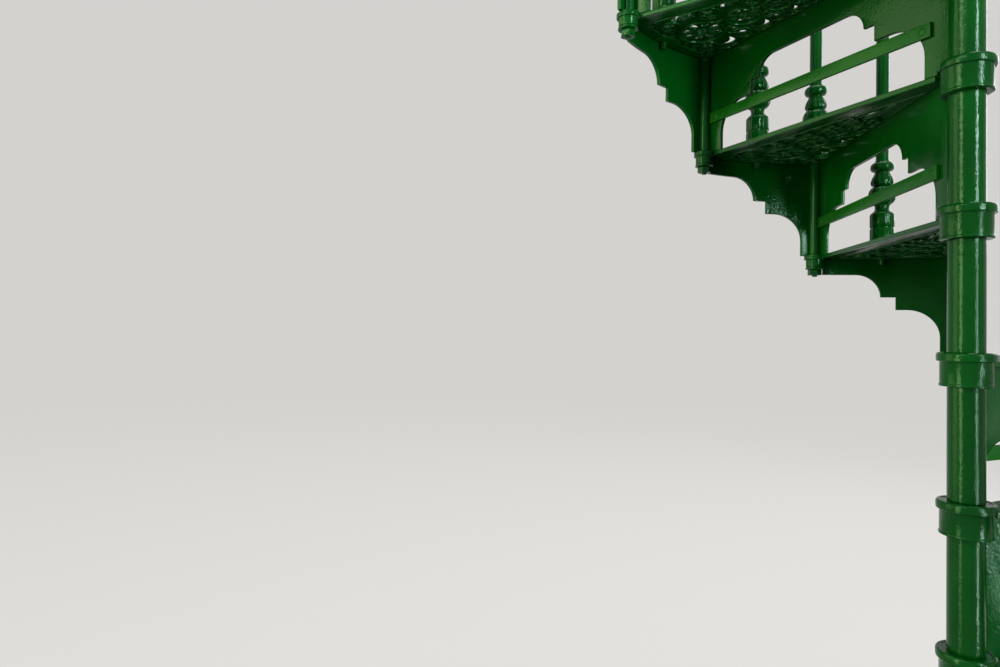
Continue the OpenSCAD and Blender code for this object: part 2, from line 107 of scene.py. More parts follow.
@dataclass(frozen=True)
class StairPlan:
    """Sizes that the castings share, in millimetres and degrees."""

    rise: float = 230
    corner_r: float = 570
    steps: int = 9
    step_angle: float = 30
    start_angle: float = -90
    landing_angle: float = 90
    plate_t: float = 9.5
    overhang: float = 14
    nosing: float = 20
    edge_corner: float = 8
    edge_hub: float = 15
    flange_r: float = 40
    flange_h: float = 13
    collar_r: float = 35.5
    collar_h: float = 40
    sleeve_r: float = 25.5
    riser_t: float = 8
    post_r: float = 12.5
    middle_in: float = 4
    middle_lug_r: float = 30
    rail_z: float = 880
    rail_w: float = 52
    rail_h: float = 34

    @classmethod
    def from_solids(cls) -> "StairPlan":
        """Reads the rise and the radius of the corners from the boxes of the solids.

        Returns:
            The plan, with both sizes as the solids have them.
        """
        rise = (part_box("tread_2")[1][2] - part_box("tread_1")[1][2]) / MM
        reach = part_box("handrail")[1][0] / MM
        return cls(rise=round(rise, 1), corner_r=round(reach - cls.rail_w / 2))

    @property
    def plate_r(self) -> float:
        """Outer radius of a tread."""
        return self.corner_r + self.overhang

    @property
    def middle_r(self) -> float:
        """Radius of the balusters between the corners."""
        return self.corner_r - self.middle_in

    @property
    def skew(self) -> float:
        """Angle between a tread's back edge and its radial line."""
        return math.degrees(math.atan((self.edge_hub + self.edge_corner) / (self.corner_r - self.flange_r)))

    @property
    def edge_len(self) -> float:
        """Length of a tread's back edge, from the hub's ring to the corner."""
        return (self.corner_r - self.flange_r) / math.cos(math.radians(self.skew))

    @property
    def front_off(self) -> float:
        """How far a tread's front edge lies before the edge that its riser stands on."""
        return self.riser_t + self.nosing

    @property
    def riser_h(self) -> float:
        """Height between a tread's top and the underside of the next."""
        return self.rise - self.plate_t

    @property
    def landing_step(self) -> int:
        """Number of the landing, counted as a step."""
        return self.steps + 1

    @property
    def landing_z(self) -> float:
        """Level of the landing."""
        return self.landing_step * self.rise

    @property
    def slope(self) -> float:
        """Slope of the winding rail, in radians."""
        return math.atan2(self.rise, self.corner_r * math.radians(self.step_angle))

    @property
    def newel_top(self) -> float:
        """Level of the top of the newel's shaft."""
        return self.landing_z + self.rail_z + self.rail_h

    @property
    def landing_posts(self) -> list[float]:
        """Angles of the landing's balusters from its front corner.

        Returns:
            Their angles in degrees, the last one short of the landing's back edge.
        """
        last = math.degrees(math.asin((self.middle_lug_r + self.edge_corner) / self.middle_r))
        half = self.step_angle / 2
        return [min(half * i, self.landing_angle - last)
                for i in range(1, round(self.landing_angle / half) + 1)]

    def turn(self, n: float) -> float:
        """Angle of the radial line that riser n belongs to."""
        return self.start_angle + (n - 1) * self.step_angle

    def at_step(self, n: float, height: float = 0, radius: float = 0) -> Matrix:
        """Place on the radial line of riser n, at a height and a radius."""
        return about(self.turn(n), radius, height)

    def on_edge(self, n: int) -> Matrix:
        """Place on the edge that riser n stands on: x runs out along it and ends at the corner.

        Args:
            n: Number of the riser, the landing's included.

        Returns:
            The place, with its origin under the corner at the level of the tread below.
        """
        return (self.at_step(n)
                @ Matrix.Translation((self.corner_r * MM, -self.edge_corner * MM, (n - 1) * self.rise * MM))
                @ Matrix.Rotation(math.radians(-self.skew), 4, "Z"))

    def edge_point(self, angle: float, along: float, across: float) -> Point:
        """A point of the plan, along and across the edge of the radial line at an angle."""
        local = turned(-self.skew, (along, across))
        return turned(angle, (self.corner_r + local[0], -self.edge_corner + local[1]))

    def edge_reach(self, radius: float, across: float) -> float:
        """How far along an edge a line beside it meets a circle round the column.

        Args:
            radius: Radius of the circle.
            across: Offset of the line from the edge.

        Returns:
            The length along the edge, from its corner.
        """
        start = self.edge_point(0, 0, across)
        way = turned(-self.skew, (1, 0))
        dot = start[0] * way[0] + start[1] * way[1]
        return -dot + math.sqrt(dot * dot - start[0] ** 2 - start[1] ** 2 + radius * radius)

    def edge_off(self, radius: float) -> float:
        """Offset of a tread's edge from its radial line, at a radius."""
        return -self.edge_corner + (self.corner_r - radius) * math.tan(math.radians(self.skew))


def select_only(*pieces: bpy.types.Object) -> None:
    """Leaves just these pieces selected, with the first one active.

    Args:
        pieces: The pieces to select.
    """
    bpy.ops.object.select_all(action="DESELECT")
    for piece in pieces:
        piece.select_set(True)
    bpy.context.view_layer.objects.active = pieces[0]


def clean_mesh(piece: bpy.types.Object, smooth: float = 35) -> None:
    """Merges doubles, turns the faces outwards and smooths all but the sharp edges.

    Args:
        piece: The piece to clean.
        smooth: Sharpest angle that is shaded smooth, in degrees.
    """
    select_only(piece)
    bpy.ops.object.mode_set(mode="EDIT")
    bpy.ops.mesh.select_all(action="SELECT")
    bpy.ops.mesh.remove_doubles(threshold=MERGE)
    bpy.ops.mesh.normals_make_consistent(inside=False)
    bpy.ops.object.mode_set(mode="OBJECT")
    bpy.ops.object.shade_smooth_by_angle(angle=math.radians(smooth))


def bevel_edges(piece: bpy.types.Object, width: float, segments: int = 2, angle: float = 40) -> None:
    """Rounds the edges that are sharper than an angle, by a width in millimetres.

    Args:
        piece: The piece to round.
        width: Width of the rounding.
        segments: Faces across a rounded edge.
        angle: Least angle of an edge that is rounded, in degrees.
    """
    select_only(piece)
    bevel = piece.modifiers.new("rounded_edges", "BEVEL")
    bevel.width = width * MM
    bevel.segments = segments
    bevel.limit_method = "ANGLE"
    bevel.angle_limit = math.radians(angle)
    bpy.ops.object.modifier_apply(modifier=bevel.name)


def place_piece(piece: bpy.types.Object, place: Matrix) -> bpy.types.Object:
    """Moves a piece's mesh to its place and leaves the object at the origin.

    Args:
        piece: The piece to move.
        place: Its place, in metres.

    Returns:
        The same piece.
    """
    piece.data.transform(place)
    piece.data.update()
    return piece


def copy_piece(piece: bpy.types.Object, place: Matrix) -> bpy.types.Object:
    """Copies a piece with a mesh of its own, in its place.

    Args:
        piece: The pattern.
        place: Place of the copy, in metres.

    Returns:
        The copy.
    """
    other = piece.copy()
    other.data = piece.data.copy()
    bpy.context.collection.objects.link(other)
    return place_piece(other, place)


def join_pieces(name: str, pieces: Sequence[bpy.types.Object]) -> bpy.types.Object:
    """Joins pieces into one object with a name.

    Args:
        name: Name of the joined piece.
        pieces: The pieces, at least one. They are used up.

    Returns:
        The joined piece.
    """
    select_only(*pieces)
    if len(pieces) > 1:
        bpy.ops.object.join()
    joined = bpy.context.view_layer.objects.active
    joined.name = name
    joined.data.name = name
    return joined


def discard(*pieces: bpy.types.Object) -> None:
    """Removes pattern pieces once their copies are placed."""
    for piece in pieces:
        bpy.data.objects.remove(piece, do_unlink=True)


def arc(centre: Point, radius: float, start: float, end: float, steps: int) -> Outline:
    """Points of an arc, both ends included. Angles are in degrees.

    Args:
        centre: Centre of the arc.
        radius: Radius of the arc.
        start: Angle of its first point.
        end: Angle of its last point.
        steps: Straight steps between them.

    Returns:
        The points, one more than there are steps.
    """
    return [(centre[0] + radius * math.cos(math.radians(start + (end - start) * i / steps)),
             centre[1] + radius * math.sin(math.radians(start + (end - start) * i / steps)))
            for i in range(steps + 1)]


def round_hole(centre: Point, radius: float, steps: int = 16) -> Outline:
    """Outline of a round hole."""
    return arc(centre, radius, 0, 360, steps)[:-1]


def curve_piece(name: str, curve: bpy.types.Curve, smooth: float = 35) -> bpy.types.Object:
    """Makes a curve into a clean mesh piece.

    Args:
        name: Name of the piece.
        curve: The curve, with its fill or its section.
        smooth: Sharpest angle that is shaded smooth, in degrees.

    Returns:
        The piece.
    """
    piece = bpy.data.objects.new(name, curve)
    bpy.context.collection.objects.link(piece)
    select_only(piece)
    bpy.ops.object.convert(target="MESH")
    piece = bpy.context.view_layer.objects.active
    clean_mesh(piece, smooth)
    return piece


def flat_casting(name: str, outlines: Sequence[Outline], thickness: float, low: float = 0,
                 edge: float = 1, edge_steps: int = 1) -> bpy.types.Object:
    """Casts a flat plate with rounded edges from closed outlines.

    Args:
        name: Name of the piece.
        outlines: Closed outlines in millimetres. One that lies inside another is a hole.
        thickness: Thickness of the plate.
        low: Height of its underside.
        edge: Radius of the rounded edges.
        edge_steps: Segments of a rounded edge, past the first.

    Returns:
        The plate in the XY plane.
    """
    curve = bpy.data.curves.new(name, "CURVE")
    curve.dimensions = "2D"
    curve.fill_mode = "BOTH"
    curve.extrude = (thickness / 2 - edge) * MM
    curve.bevel_depth = edge * MM
    curve.bevel_resolution = edge_steps
    curve.offset = -edge * MM
    for outline in outlines:
        spline = curve.splines.new("POLY")
        spline.points.add(len(outline) - 1)
        for point, (x, y) in zip(spline.points, outline):
            point.co = (x * MM, y * MM, 0, 1)
        spline.use_cyclic_u = True
    plate = curve_piece(name, curve)
    return place_piece(plate, Matrix.Translation((0, 0, (low + thickness / 2) * MM)))


def wear_top(plate: bpy.types.Object) -> bpy.types.Object:
    """Marks the points of a plate's upper face, which shoes have worn dull.

    Args:
        plate: A plate with its upper face at zero.

    Returns:
        The same plate.
    """
    worn = plate.data.attributes.new(WORN, "FLOAT", "POINT")
    worn.data.foreach_set("value", [float(v.co.z > -MM) for v in plate.data.vertices])
    return plate


def bars(name: str, paths: Sequence[Outline], radius: float, height: float, closed: bool = False,
         sides: int = 1) -> bpy.types.Object:
    """Lays round bars along flat paths. An open bar gets thinner towards its ends.

    Args:
        name: Name of the piece.
        paths: Paths in millimetres, all at one height.
        radius: Radius of the bars.
        height: Height of their middle.
        closed: Whether each path is a ring.
        sides: Resolution of a bar's section.

    Returns:
        The bars as one piece.
    """
    curve = bpy.data.curves.new(name, "CURVE")
    curve.dimensions = "3D"
    curve.fill_mode = "FULL"
    curve.bevel_depth = radius * MM
    curve.bevel_resolution = sides
    curve.use_fill_caps = True
    for path in paths:
        spline = curve.splines.new("POLY")
        spline.points.add(len(path) - 1)
        for index, (point, (x, y)) in enumerate(zip(spline.points, path)):
            point.co = (x * MM, y * MM, height * MM, 1)
            from_end = min(index, len(path) - 1 - index)
            point.radius = 1 if closed else min(1, BAR_TIP + BAR_GAIN * from_end)
        spline.use_cyclic_u = closed
    return curve_piece(name, curve, 60)


def sort_faces(piece: bpy.types.Object) -> None:
    """Sorts a mesh's faces by their points, because spin leaves them in another order each time.

    Args:
        piece: The piece, in object mode and not yet shaded.
    """
    mesh = piece.data
    points = [tuple(vertex.co) for vertex in mesh.vertices]
    faces = sorted((tuple(face.vertices) for face in mesh.polygons), key=sorted)
    mesh.clear_geometry()
    mesh.from_pydata(points, [], faces)


def turned_piece(name: str, profile: Outline, steps: int = 32, smooth: float = 35) -> bpy.types.Object:
    """Turns a profile round the Z axis.

    Args:
        name: Name of the piece.
        profile: Points (radius, height) in millimetres from the bottom up. Open ends are closed flat.
        steps: Steps round the axis.
        smooth: Sharpest angle that is shaded smooth, in degrees.

    Returns:
        A closed piece.
    """
    mesh = bpy.data.meshes.new(name)
    mesh.from_pydata([(r * MM, 0, z * MM) for r, z in profile],
                     [(i, i + 1) for i in range(len(profile) - 1)], [])
    piece = bpy.data.objects.new(name, mesh)
    bpy.context.collection.objects.link(piece)
    select_only(piece)
    bpy.ops.object.mode_set(mode="EDIT")
    bpy.ops.mesh.select_all(action="SELECT")
    bpy.ops.mesh.spin(steps=steps, angle=math.tau, center=(0, 0, 0), axis=(0, 0, 1))
    bpy.ops.mesh.select_all(action="SELECT")
    bpy.ops.mesh.remove_doubles(threshold=MERGE)
    bpy.ops.mesh.select_all(action="DESELECT")
    bpy.ops.mesh.select_non_manifold()
    bpy.ops.mesh.fill_holes(sides=0)
    bpy.ops.object.mode_set(mode="OBJECT")
    sort_faces(piece)
    clean_mesh(piece, smooth)
    return piece


@dataclass(frozen=True)
class PaintFinish:
    """Thick gloss paint on cast iron, with brush marks, sags and a few chips."""

    name: str
    colour: Triple
    deep: Triple
    # Patches that run from the deep colour to the lighter one
    cloud_scale: float = 7
    cloud_range: Point = (0.35, 0.68)
    # Chips show where their noise passes this level
    chip: Triple = (0.045, 0.030, 0.016)
    chips: float = 0.74
    chip_edge: float = 0.015
    chip_scale: float = 95
    # Duller smears, and how much duller a worn face is
    roughness: float = 0.09
    smear: float = 0.14
    smear_scale: float = 22
    smear_range: Point = (0.3, 0.75)
    scuff: float = 0.30
    metal: float = 0.0
    ior: float = 1.27
    tint: Triple = (0.55, 1.0, 0.78)
    # Orange peel, and the longer waves of sags and brush marks
    peel: float = 0.85
    peel_scale: float = 250
    peel_depth: float = 0.0005
    sag: float = 0.30
    sag_scale: float = 38
    sag_depth: float = 0.0018

    def build(self) -> bpy.types.Material:
        """Builds the node tree of the finish.

        Returns:
            The material, which reads each piece's own coordinates and its worn faces.
        """
        material = bpy.data.materials.new(self.name)
        material.use_nodes = True
        tree = material.node_tree
        shader = tree.nodes["Principled BSDF"]
        place = tree.nodes.new("ShaderNodeTexCoord")

        def noise(scale: float, detail: float = 3, rough: float = 0.5) -> bpy.types.Node:
            """A noise on the piece's own coordinates.

            Args:
                scale: Waves in a metre.
                detail: Finer layers on top.
                rough: Share of the finer layers.

            Returns:
                The noise's node.
            """
            node = tree.nodes.new("ShaderNodeTexNoise")
            node.inputs["Scale"].default_value = scale
            node.inputs["Detail"].default_value = detail
            node.inputs["Roughness"].default_value = rough
            tree.links.new(place.outputs["Object"], node.inputs["Vector"])
            return node

        def ramp(source: bpy.types.NodeSocket, low: float, high: float,
                 low_value: float = 0, high_value: float = 1) -> bpy.types.NodeSocket:
            """Maps a value from one range to another, without overshoot.

            Args:
                source: The value to map.
                low: Value that becomes the low one.
                high: Value that becomes the high one.
                low_value: The low result.
                high_value: The high result.

            Returns:
                The mapped value's socket.
            """
            node = tree.nodes.new("ShaderNodeMapRange")
            node.inputs["From Min"].default_value = low
            node.inputs["From Max"].default_value = high
            node.inputs["To Min"].default_value = low_value
            node.inputs["To Max"].default_value = high_value
            tree.links.new(source, node.inputs["Value"])
            return node.outputs["Result"]

        def mix(factor: bpy.types.NodeSocket, first: bpy.types.NodeSocket | Triple,
                second: bpy.types.NodeSocket | Triple) -> bpy.types.NodeSocket:
            """Mixes two colours, each a socket or a plain colour.

            Args:
                factor: Share of the second colour.
                first: Colour at nought.
                second: Colour at one.

            Returns:
                The mixed colour's socket.
            """
            node = tree.nodes.new("ShaderNodeMix")
            node.data_type = "RGBA"
            tree.links.new(factor, node.inputs["Factor"])
            for socket, value in ((node.inputs["A"], first), (node.inputs["B"], second)):
                if isinstance(value, bpy.types.NodeSocket):
                    tree.links.new(value, socket)
                else:
                    socket.default_value = (*value, 1)
            return node.outputs["Result"]

        def bump(source: bpy.types.Node, strength: float, depth: float,
                 under: bpy.types.NodeSocket | None = None) -> bpy.types.NodeSocket:
            """Raises the surface by a noise, on top of another bump.

            Args:
                source: The noise.
                strength: Strength of the bump.
                depth: Height of its waves, in metres.
                under: Normal of the bump underneath, if there is one.

            Returns:
                The normal's socket.
            """
            node = tree.nodes.new("ShaderNodeBump")
            node.inputs["Strength"].default_value = strength
            node.inputs["Distance"].default_value = depth
            tree.links.new(source.outputs["Fac"], node.inputs["Height"])
            if under is not None:
                tree.links.new(under, node.inputs["Normal"])
            return node.outputs["Normal"]

        cloud = noise(self.cloud_scale)
        colour = mix(ramp(cloud.outputs["Fac"], *self.cloud_range), self.deep, self.colour)
        fleck = noise(self.chip_scale, 4, 0.65)
        chip_mask = ramp(fleck.outputs["Fac"], self.chips, self.chips + self.chip_edge)
        colour = mix(chip_mask, colour, self.chip)
        tree.links.new(colour, shader.inputs["Base Color"])
        smear = noise(self.smear_scale, 4)
        worn = tree.nodes.new("ShaderNodeAttribute")
        worn.attribute_name = WORN
        dull = tree.nodes.new("ShaderNodeMath")
        dull.operation = "MULTIPLY_ADD"
        tree.links.new(worn.outputs["Fac"], dull.inputs[0])
        dull.inputs[1].default_value = self.scuff
        gloss = ramp(smear.outputs["Fac"], *self.smear_range, self.roughness, self.roughness + self.smear)
        tree.links.new(gloss, dull.inputs[2])
        tree.links.new(dull.outputs["Value"], shader.inputs["Roughness"])
        shader.inputs["Metallic"].default_value = self.metal
        shader.inputs["IOR"].default_value = self.ior
        shader.inputs["Specular Tint"].default_value = (*self.tint, 1)
        fine = bump(noise(self.peel_scale), self.peel, self.peel_depth)
        coarse = bump(noise(self.sag_scale), self.sag, self.sag_depth, fine)
        tree.links.new(coarse, shader.inputs["Normal"])
        return material


class Paints:
    """The finishes of the stair: one for each material slot, and a lighter coat on the flat bars."""

    def __init__(self) -> None:
        """Builds every finish once."""
        coats = {
            Slot.IRON: PaintFinish("green_gloss_iron", (0.0006, 0.054, 0.004), (0.0004, 0.034, 0.003)),
            Slot.RAIL: PaintFinish("green_gloss_rail", (0.0006, 0.050, 0.005), (0.0004, 0.032, 0.003)),
            Slot.FIXINGS: PaintFinish("green_gloss_fixings", (0.0006, 0.048, 0.004),
                                      (0.0004, 0.030, 0.003), chips=0.68),
            Slot.STEEL: PaintFinish("bare_bar", (0.30, 0.30, 0.31), (0.20, 0.20, 0.21), metal=1.0),
        }
        self._by_slot = {slot: coat.build() for slot, coat in coats.items()}
        self._on_bars = PaintFinish("green_gloss_bars", (0.0060, 0.080, 0.005), (0.0030, 0.058, 0.004),
                                    roughness=0.20).build()

    def dress(self, piece: bpy.types.Object, slot: Slot, on_bars: bool = False) -> None:
        """Puts a slot's finish, or the coat of the flat bars, on a piece in place of any other."""
        piece.data.materials.clear()
        piece.data.materials.append(self._on_bars if on_bars else self._by_slot[slot])

    def finish(self, piece: bpy.types.Object, slot: Slot, *nodes: str, on_bars: bool = False) -> None:
        """Dresses a finished piece, fixes it to the stair and hides the solids that it stands for.

        Args:
            piece: The finished piece.
            slot: Its material slot.
            nodes: Names of the solids that it stands for.
            on_bars: Whether it wears the coat of the flat bars.
        """
        self.dress(piece, slot, on_bars)
        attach(piece, ROOT)
        if nodes:
            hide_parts(*nodes)
        LOG.info("%s: %d faces", piece.name, len(piece.data.polygons))

    def dress_solids(self) -> None:
        """Gives each solid that stays the finish of its slot."""
        slots = {row["node"]: Slot(row["material_slot"]) for row in frame["record"]["subparts"]}
        for name, solid in frame["nodes"].items():
            self.dress(solid, slots.get(name, Slot.IRON))


@dataclass(frozen=True)
class Curl:
    """How a scroll winds: its first angle, its sweep, and its first and last radius as shares of a size."""

    start: float
    sweep: float
    inner: float
    outer: float


@dataclass
class TreadField:
    """The pierced and carved field of a tread, in the place of the tread whose front corner is at 0."""

    plan: StairPlan
    rim_w: float = 34
    thickness: float = 6
    # How far the plate lies under the rim's upper face
    sunk: float = 0.3
    edge: float = 0.6
    border_w: float = 20
    rosettes: int = 4
    first_ring: float = 48
    ring_ratio: float = 0.74
    # Shares of a rosette's radius: its distance to the next, its eye, its petals and its lines
    ring_gap: float = 1.17
    eye: float = 0.22
    petals: int = 8
    petal_size: Point = (0.6, 0.3)
    petal_at: float = 0.62
    ring_line: float = 0.99
    eye_line: float = 0.29
    vein_at: tuple[float, ...] = (0.34, 0.5, 0.7, 0.9)
    # Size of the moons, as a share of the space beside a rosette
    moon_size: float = 0.4
    moon_curl: Curl = Curl(100, -200, 1.35, 1.35)
    # The gap past a rosette: its distance, then place and radius of each eye as shares of the half width
    gap_at: float = 1.08
    gap_eyes: tuple[Point, ...] = ((-0.72, 0.1), (-0.4, 0.075), (0.4, 0.075), (0.72, 0.1))
    inner_curl: Curl = Curl(180, -330, 0.12, 0.22)
    outer_curl: Curl = Curl(-70, 400, 0.15, 0.30)
    # The row of holes along the rim: its count each way and its pitch, then radii as shares of its width
    row_each_way: int = 4
    row_pitch: float = 0.22
    row_eye: float = 0.3
    row_line: float = 0.42
    # The rib beside that row: its distance as a share of the row's width, and its share of the half width
    rib_at: float = 0.62
    rib_reach: float = 0.93
    # Eyes in the outer corners: offset as a share of the half width, then shares of the first rosette
    corner_at: Point = (0.62, 0.75)
    corner_eye: float = 0.2
    corner_curl: Curl = Curl(40, 420, 0.27, 0.52)
    # Distance from the last rosette and length, and the leaves' width
    tip_leaves: tuple[Triple, ...] = ((32, 46, 15), (80, 34, 10))
    tip_veins: tuple[Point, ...] = ((57, 50), (99, 38))
    # Radius of the bars under the field, shares of it, and how far their middle stands out
    bar_r: float = 3.2
    thin_bar: float = 0.66
    scroll_bar: float = 0.94
    bar_out: float = 1.2
    bead_r: float = 2.6

    @property
    def row_r(self) -> float:
        """Radius of the row of holes along the rim."""
        return self.plan.plate_r - self.rim_w - self.border_w / 2

    @property
    def row(self) -> list[Point]:
        """Centres of the row of holes along the rim.

        Returns:
            The centres, from the front of the tread to its back.
        """
        pitch = self.row_pitch
        return [self.at(self.row_r, pitch * i * self.half(self.row_r))
                for i in range(-self.row_each_way, self.row_each_way + 1)]

    @property
    def tip_r(self) -> float:
        """Radius where the last rosette ends, towards the column."""
        return self.ring_at(self.rosettes - 1) - self.ring_r(self.rosettes - 1)

    def low(self, radius: float) -> float:
        """Angle of the field's front border at a radius."""
        off = self.plan.edge_off(radius) - self.plan.front_off + self.rim_w
        return math.degrees(math.atan(off / radius))

    def high(self, radius: float) -> float:
        """Angle of the field's back border at a radius."""
        off = self.plan.edge_off(radius) - self.rim_w
        return self.plan.step_angle + math.degrees(math.atan(off / radius))

    def half(self, radius: float) -> float:
        """Half the field's width at a radius."""
        return math.radians(self.high(radius) - self.low(radius)) / 2 * radius

    def at(self, radius: float, offset: float = 0) -> Point:
        """A point at a radius, and an offset round the tread from the field's middle line."""
        middle = (self.low(radius) + self.high(radius)) / 2
        return polar(radius, middle + math.degrees(offset / radius))

    def facing(self, radius: float, offset: float = 0) -> float:
        """Direction away from the column at a point of the field, in degrees."""
        x, y = self.at(radius, offset)
        return math.degrees(math.atan2(y, x))

    def ring_r(self, k: int) -> float:
        """Radius of a rosette."""
        return self.first_ring * self.ring_ratio ** k

    def ring_at(self, k: int) -> float:
        """Distance of a rosette from the column's axis.

        Args:
            k: Number of the rosette, from the rim inwards.

        Returns:
            The radius of its centre.
        """
        radius = self.plan.plate_r - self.rim_w - self.border_w - self.first_ring
        for i in range(k):
            radius -= self.ring_gap * (self.ring_r(i) + self.ring_r(i + 1))
        return radius

    def put(self, outline: Outline, centre: Point, angle: float) -> Outline:
        """Turns an outline and moves it to a point."""
        return [(centre[0] + x, centre[1] + y) for x, y in (turned(angle, p) for p in outline)]

    def leaf(self, length: float, width: float, steps: int = 5) -> Outline:
        """A pointed leaf between two arcs.

        Args:
            length: Length of the leaf, along x.
            width: Its width in the middle.
            steps: Steps of each arc.

        Returns:
            The leaf's outline, round the origin.
        """
        r = (length * length + width * width) / (4 * width)
        half = math.degrees(math.asin(length / 2 / r))
        lower = arc((0, r - width / 2), r, -90 - half, -90 + half, steps)
        upper = arc((0, width / 2 - r), r, 90 - half, 90 + half, steps)
        return lower[:-1] + upper[:-1]

    def moon(self, radius: float) -> Outline:
        """A horned moon that opens along x.

        Args:
            radius: Radius of its back.

        Returns:
            The moon's outline, round the origin.
        """
        shift, inner = radius * 0.42, radius * 0.8
        x = (radius * radius - inner * inner + shift * shift) / (2 * shift)
        outer_a = math.degrees(math.acos(x / radius))
        inner_a = math.degrees(math.acos((x - shift) / inner))
        back = arc((0, 0), radius, outer_a, 360 - outer_a, 12)
        front = arc((shift, 0), inner, 360 - inner_a, inner_a, 9)
        return back + front[1:-1]

    def border(self, margin: float) -> Outline:
        """Outline of the field, shrunk by a margin.

        Args:
            margin: Distance in from the tread's own edges.

        Returns:
            The outline, from its tip at the column round to the rim.
        """
        plan = self.plan
        front, back = -plan.front_off + margin, -margin
        reach = plan.plate_r - margin
        start = plan.edge_point(0, plan.edge_reach(reach, front), front)
        end = plan.edge_point(plan.step_angle, plan.edge_reach(reach, back), back)
        first = math.degrees(math.atan2(start[1], start[0]))
        last = math.degrees(math.atan2(end[1], end[0]))
        low = plan.edge_point(0, -plan.edge_len, front)
        high = plan.edge_point(plan.step_angle, -plan.edge_len, back)
        tip = self.crossing(start, low, end, high)
        return [tip] + arc((0, 0), reach, first, last, 18)

    @staticmethod
    def crossing(a: Point, b: Point, c: Point, d: Point) -> Point:
        """Where the line through a and b crosses the line through c and d.

        Args:
            a: A point of the first line.
            b: Another point of it.
            c: A point of the second line.
            d: Another point of it.

        Returns:
            The point where they cross.
        """
        ux, uy = b[0] - a[0], b[1] - a[1]
        vx, vy = d[0] - c[0], d[1] - c[1]
        t = ((c[0] - a[0]) * vy - (c[1] - a[1]) * vx) / (ux * vy - uy * vx)
        return (a[0] + ux * t, a[1] + uy * t)

    def moon_at(self, k: int) -> Point:
        """Where the moons beside a rosette lie, and how large they are.

        Args:
            k: Number of the rosette, from the rim inwards.

        Returns:
            Their offset from the field's middle line, and their radius.
        """
        half = self.half(self.ring_at(k))
        ring = self.ring_r(k)
        return ((ring + half) / 2, self.moon_size * (half - ring))

    def corner_eye_at(self) -> Point:
        """Radius of the eyes in the field's outer corners, and their offset from its middle line."""
        radius = self.ring_at(0) + self.first_ring * self.corner_at[1]
        return (radius, self.corner_at[0] * self.half(radius))

    def holes(self) -> list[Outline]:
        """Outlines of the openings: rosettes, moons, eyes and the row along the rim.

        Returns:
            One closed outline for each opening.
        """
        cuts: list[Outline] = []
        for k in range(self.rosettes):
            radius, ring = self.ring_at(k), self.ring_r(k)
            centre, face = self.at(radius), self.facing(radius)
            cuts.append(round_hole(centre, ring * self.eye, 12))
            petal = self.leaf(ring * self.petal_size[0], ring * self.petal_size[1])
            for i in range(self.petals):
                a = face + i * 360 / self.petals
                cuts.append(self.put(petal, away(centre, ring * self.petal_at, a), a))
            side, moon_r = self.moon_at(k)
            for way in (-1, 1):
                place = self.at(radius, way * side)
                cuts.append(self.put(self.moon(moon_r), place, self.facing(radius, way * side) - 90 * way))
            gap_r = radius - self.gap_at * ring
            wide = self.half(gap_r)
            for share, size in self.gap_eyes:
                cuts.append(round_hole(self.at(gap_r, share * wide), wide * size, 10))
        for back, length, width in self.tip_leaves:
            radius = self.tip_r - back
            cuts.append(self.put(self.leaf(length, width), self.at(radius), self.facing(radius)))
        cuts += [round_hole(centre, self.border_w * self.row_eye, 10) for centre in self.row]
        radius, off = self.corner_eye_at()
        size = self.first_ring * self.corner_eye
        cuts += [round_hole(self.at(radius, way * off), size, 12) for way in (-1, 1)]
        return cuts

    def scroll(self, centre: Point, start: float, curl: Curl, size: float, way: int = 1) -> Outline:
        """A scroll that winds out from an eye.

        Args:
            centre: Centre of the eye.
            start: Angle where the scroll starts, in degrees.
            curl: How it winds.
            size: Size that its radii are shares of.
            way: 1 where it winds as the curl says, and -1 where it winds the other way.

        Returns:
            The scroll's path.
        """
        sweep = curl.sweep * way
        inner, outer = size * curl.inner, size * curl.outer
        steps = max(8, round(abs(sweep) / 22))
        return [away(centre, inner + (outer - inner) * i / steps, start + sweep * i / steps)
                for i in range(steps + 1)]

    def side_scrolls(self, k: int, way: int) -> list[Outline]:
        """The scroll round a moon, and the two in the gap past its rosette.

        Args:
            k: Number of the rosette, from the rim inwards.
            way: Side of the field's middle line, -1 or 1.

        Returns:
            The three paths.
        """
        radius = self.ring_at(k)
        side, moon_r = self.moon_at(k)
        face = self.facing(radius, way * side)
        gap_r = radius - self.gap_at * self.ring_r(k)
        wide = self.half(gap_r)
        inner, outer = [self.at(gap_r, share * way * wide) for share, _ in self.gap_eyes[2:]]
        moon = self.at(radius, way * side)
        return [self.scroll(moon, face + 90 * way + self.moon_curl.start, self.moon_curl, moon_r),
                self.scroll(outer, face + self.outer_curl.start * way, self.outer_curl, wide, way),
                self.scroll(inner, face + self.inner_curl.start, self.inner_curl, wide, way)]

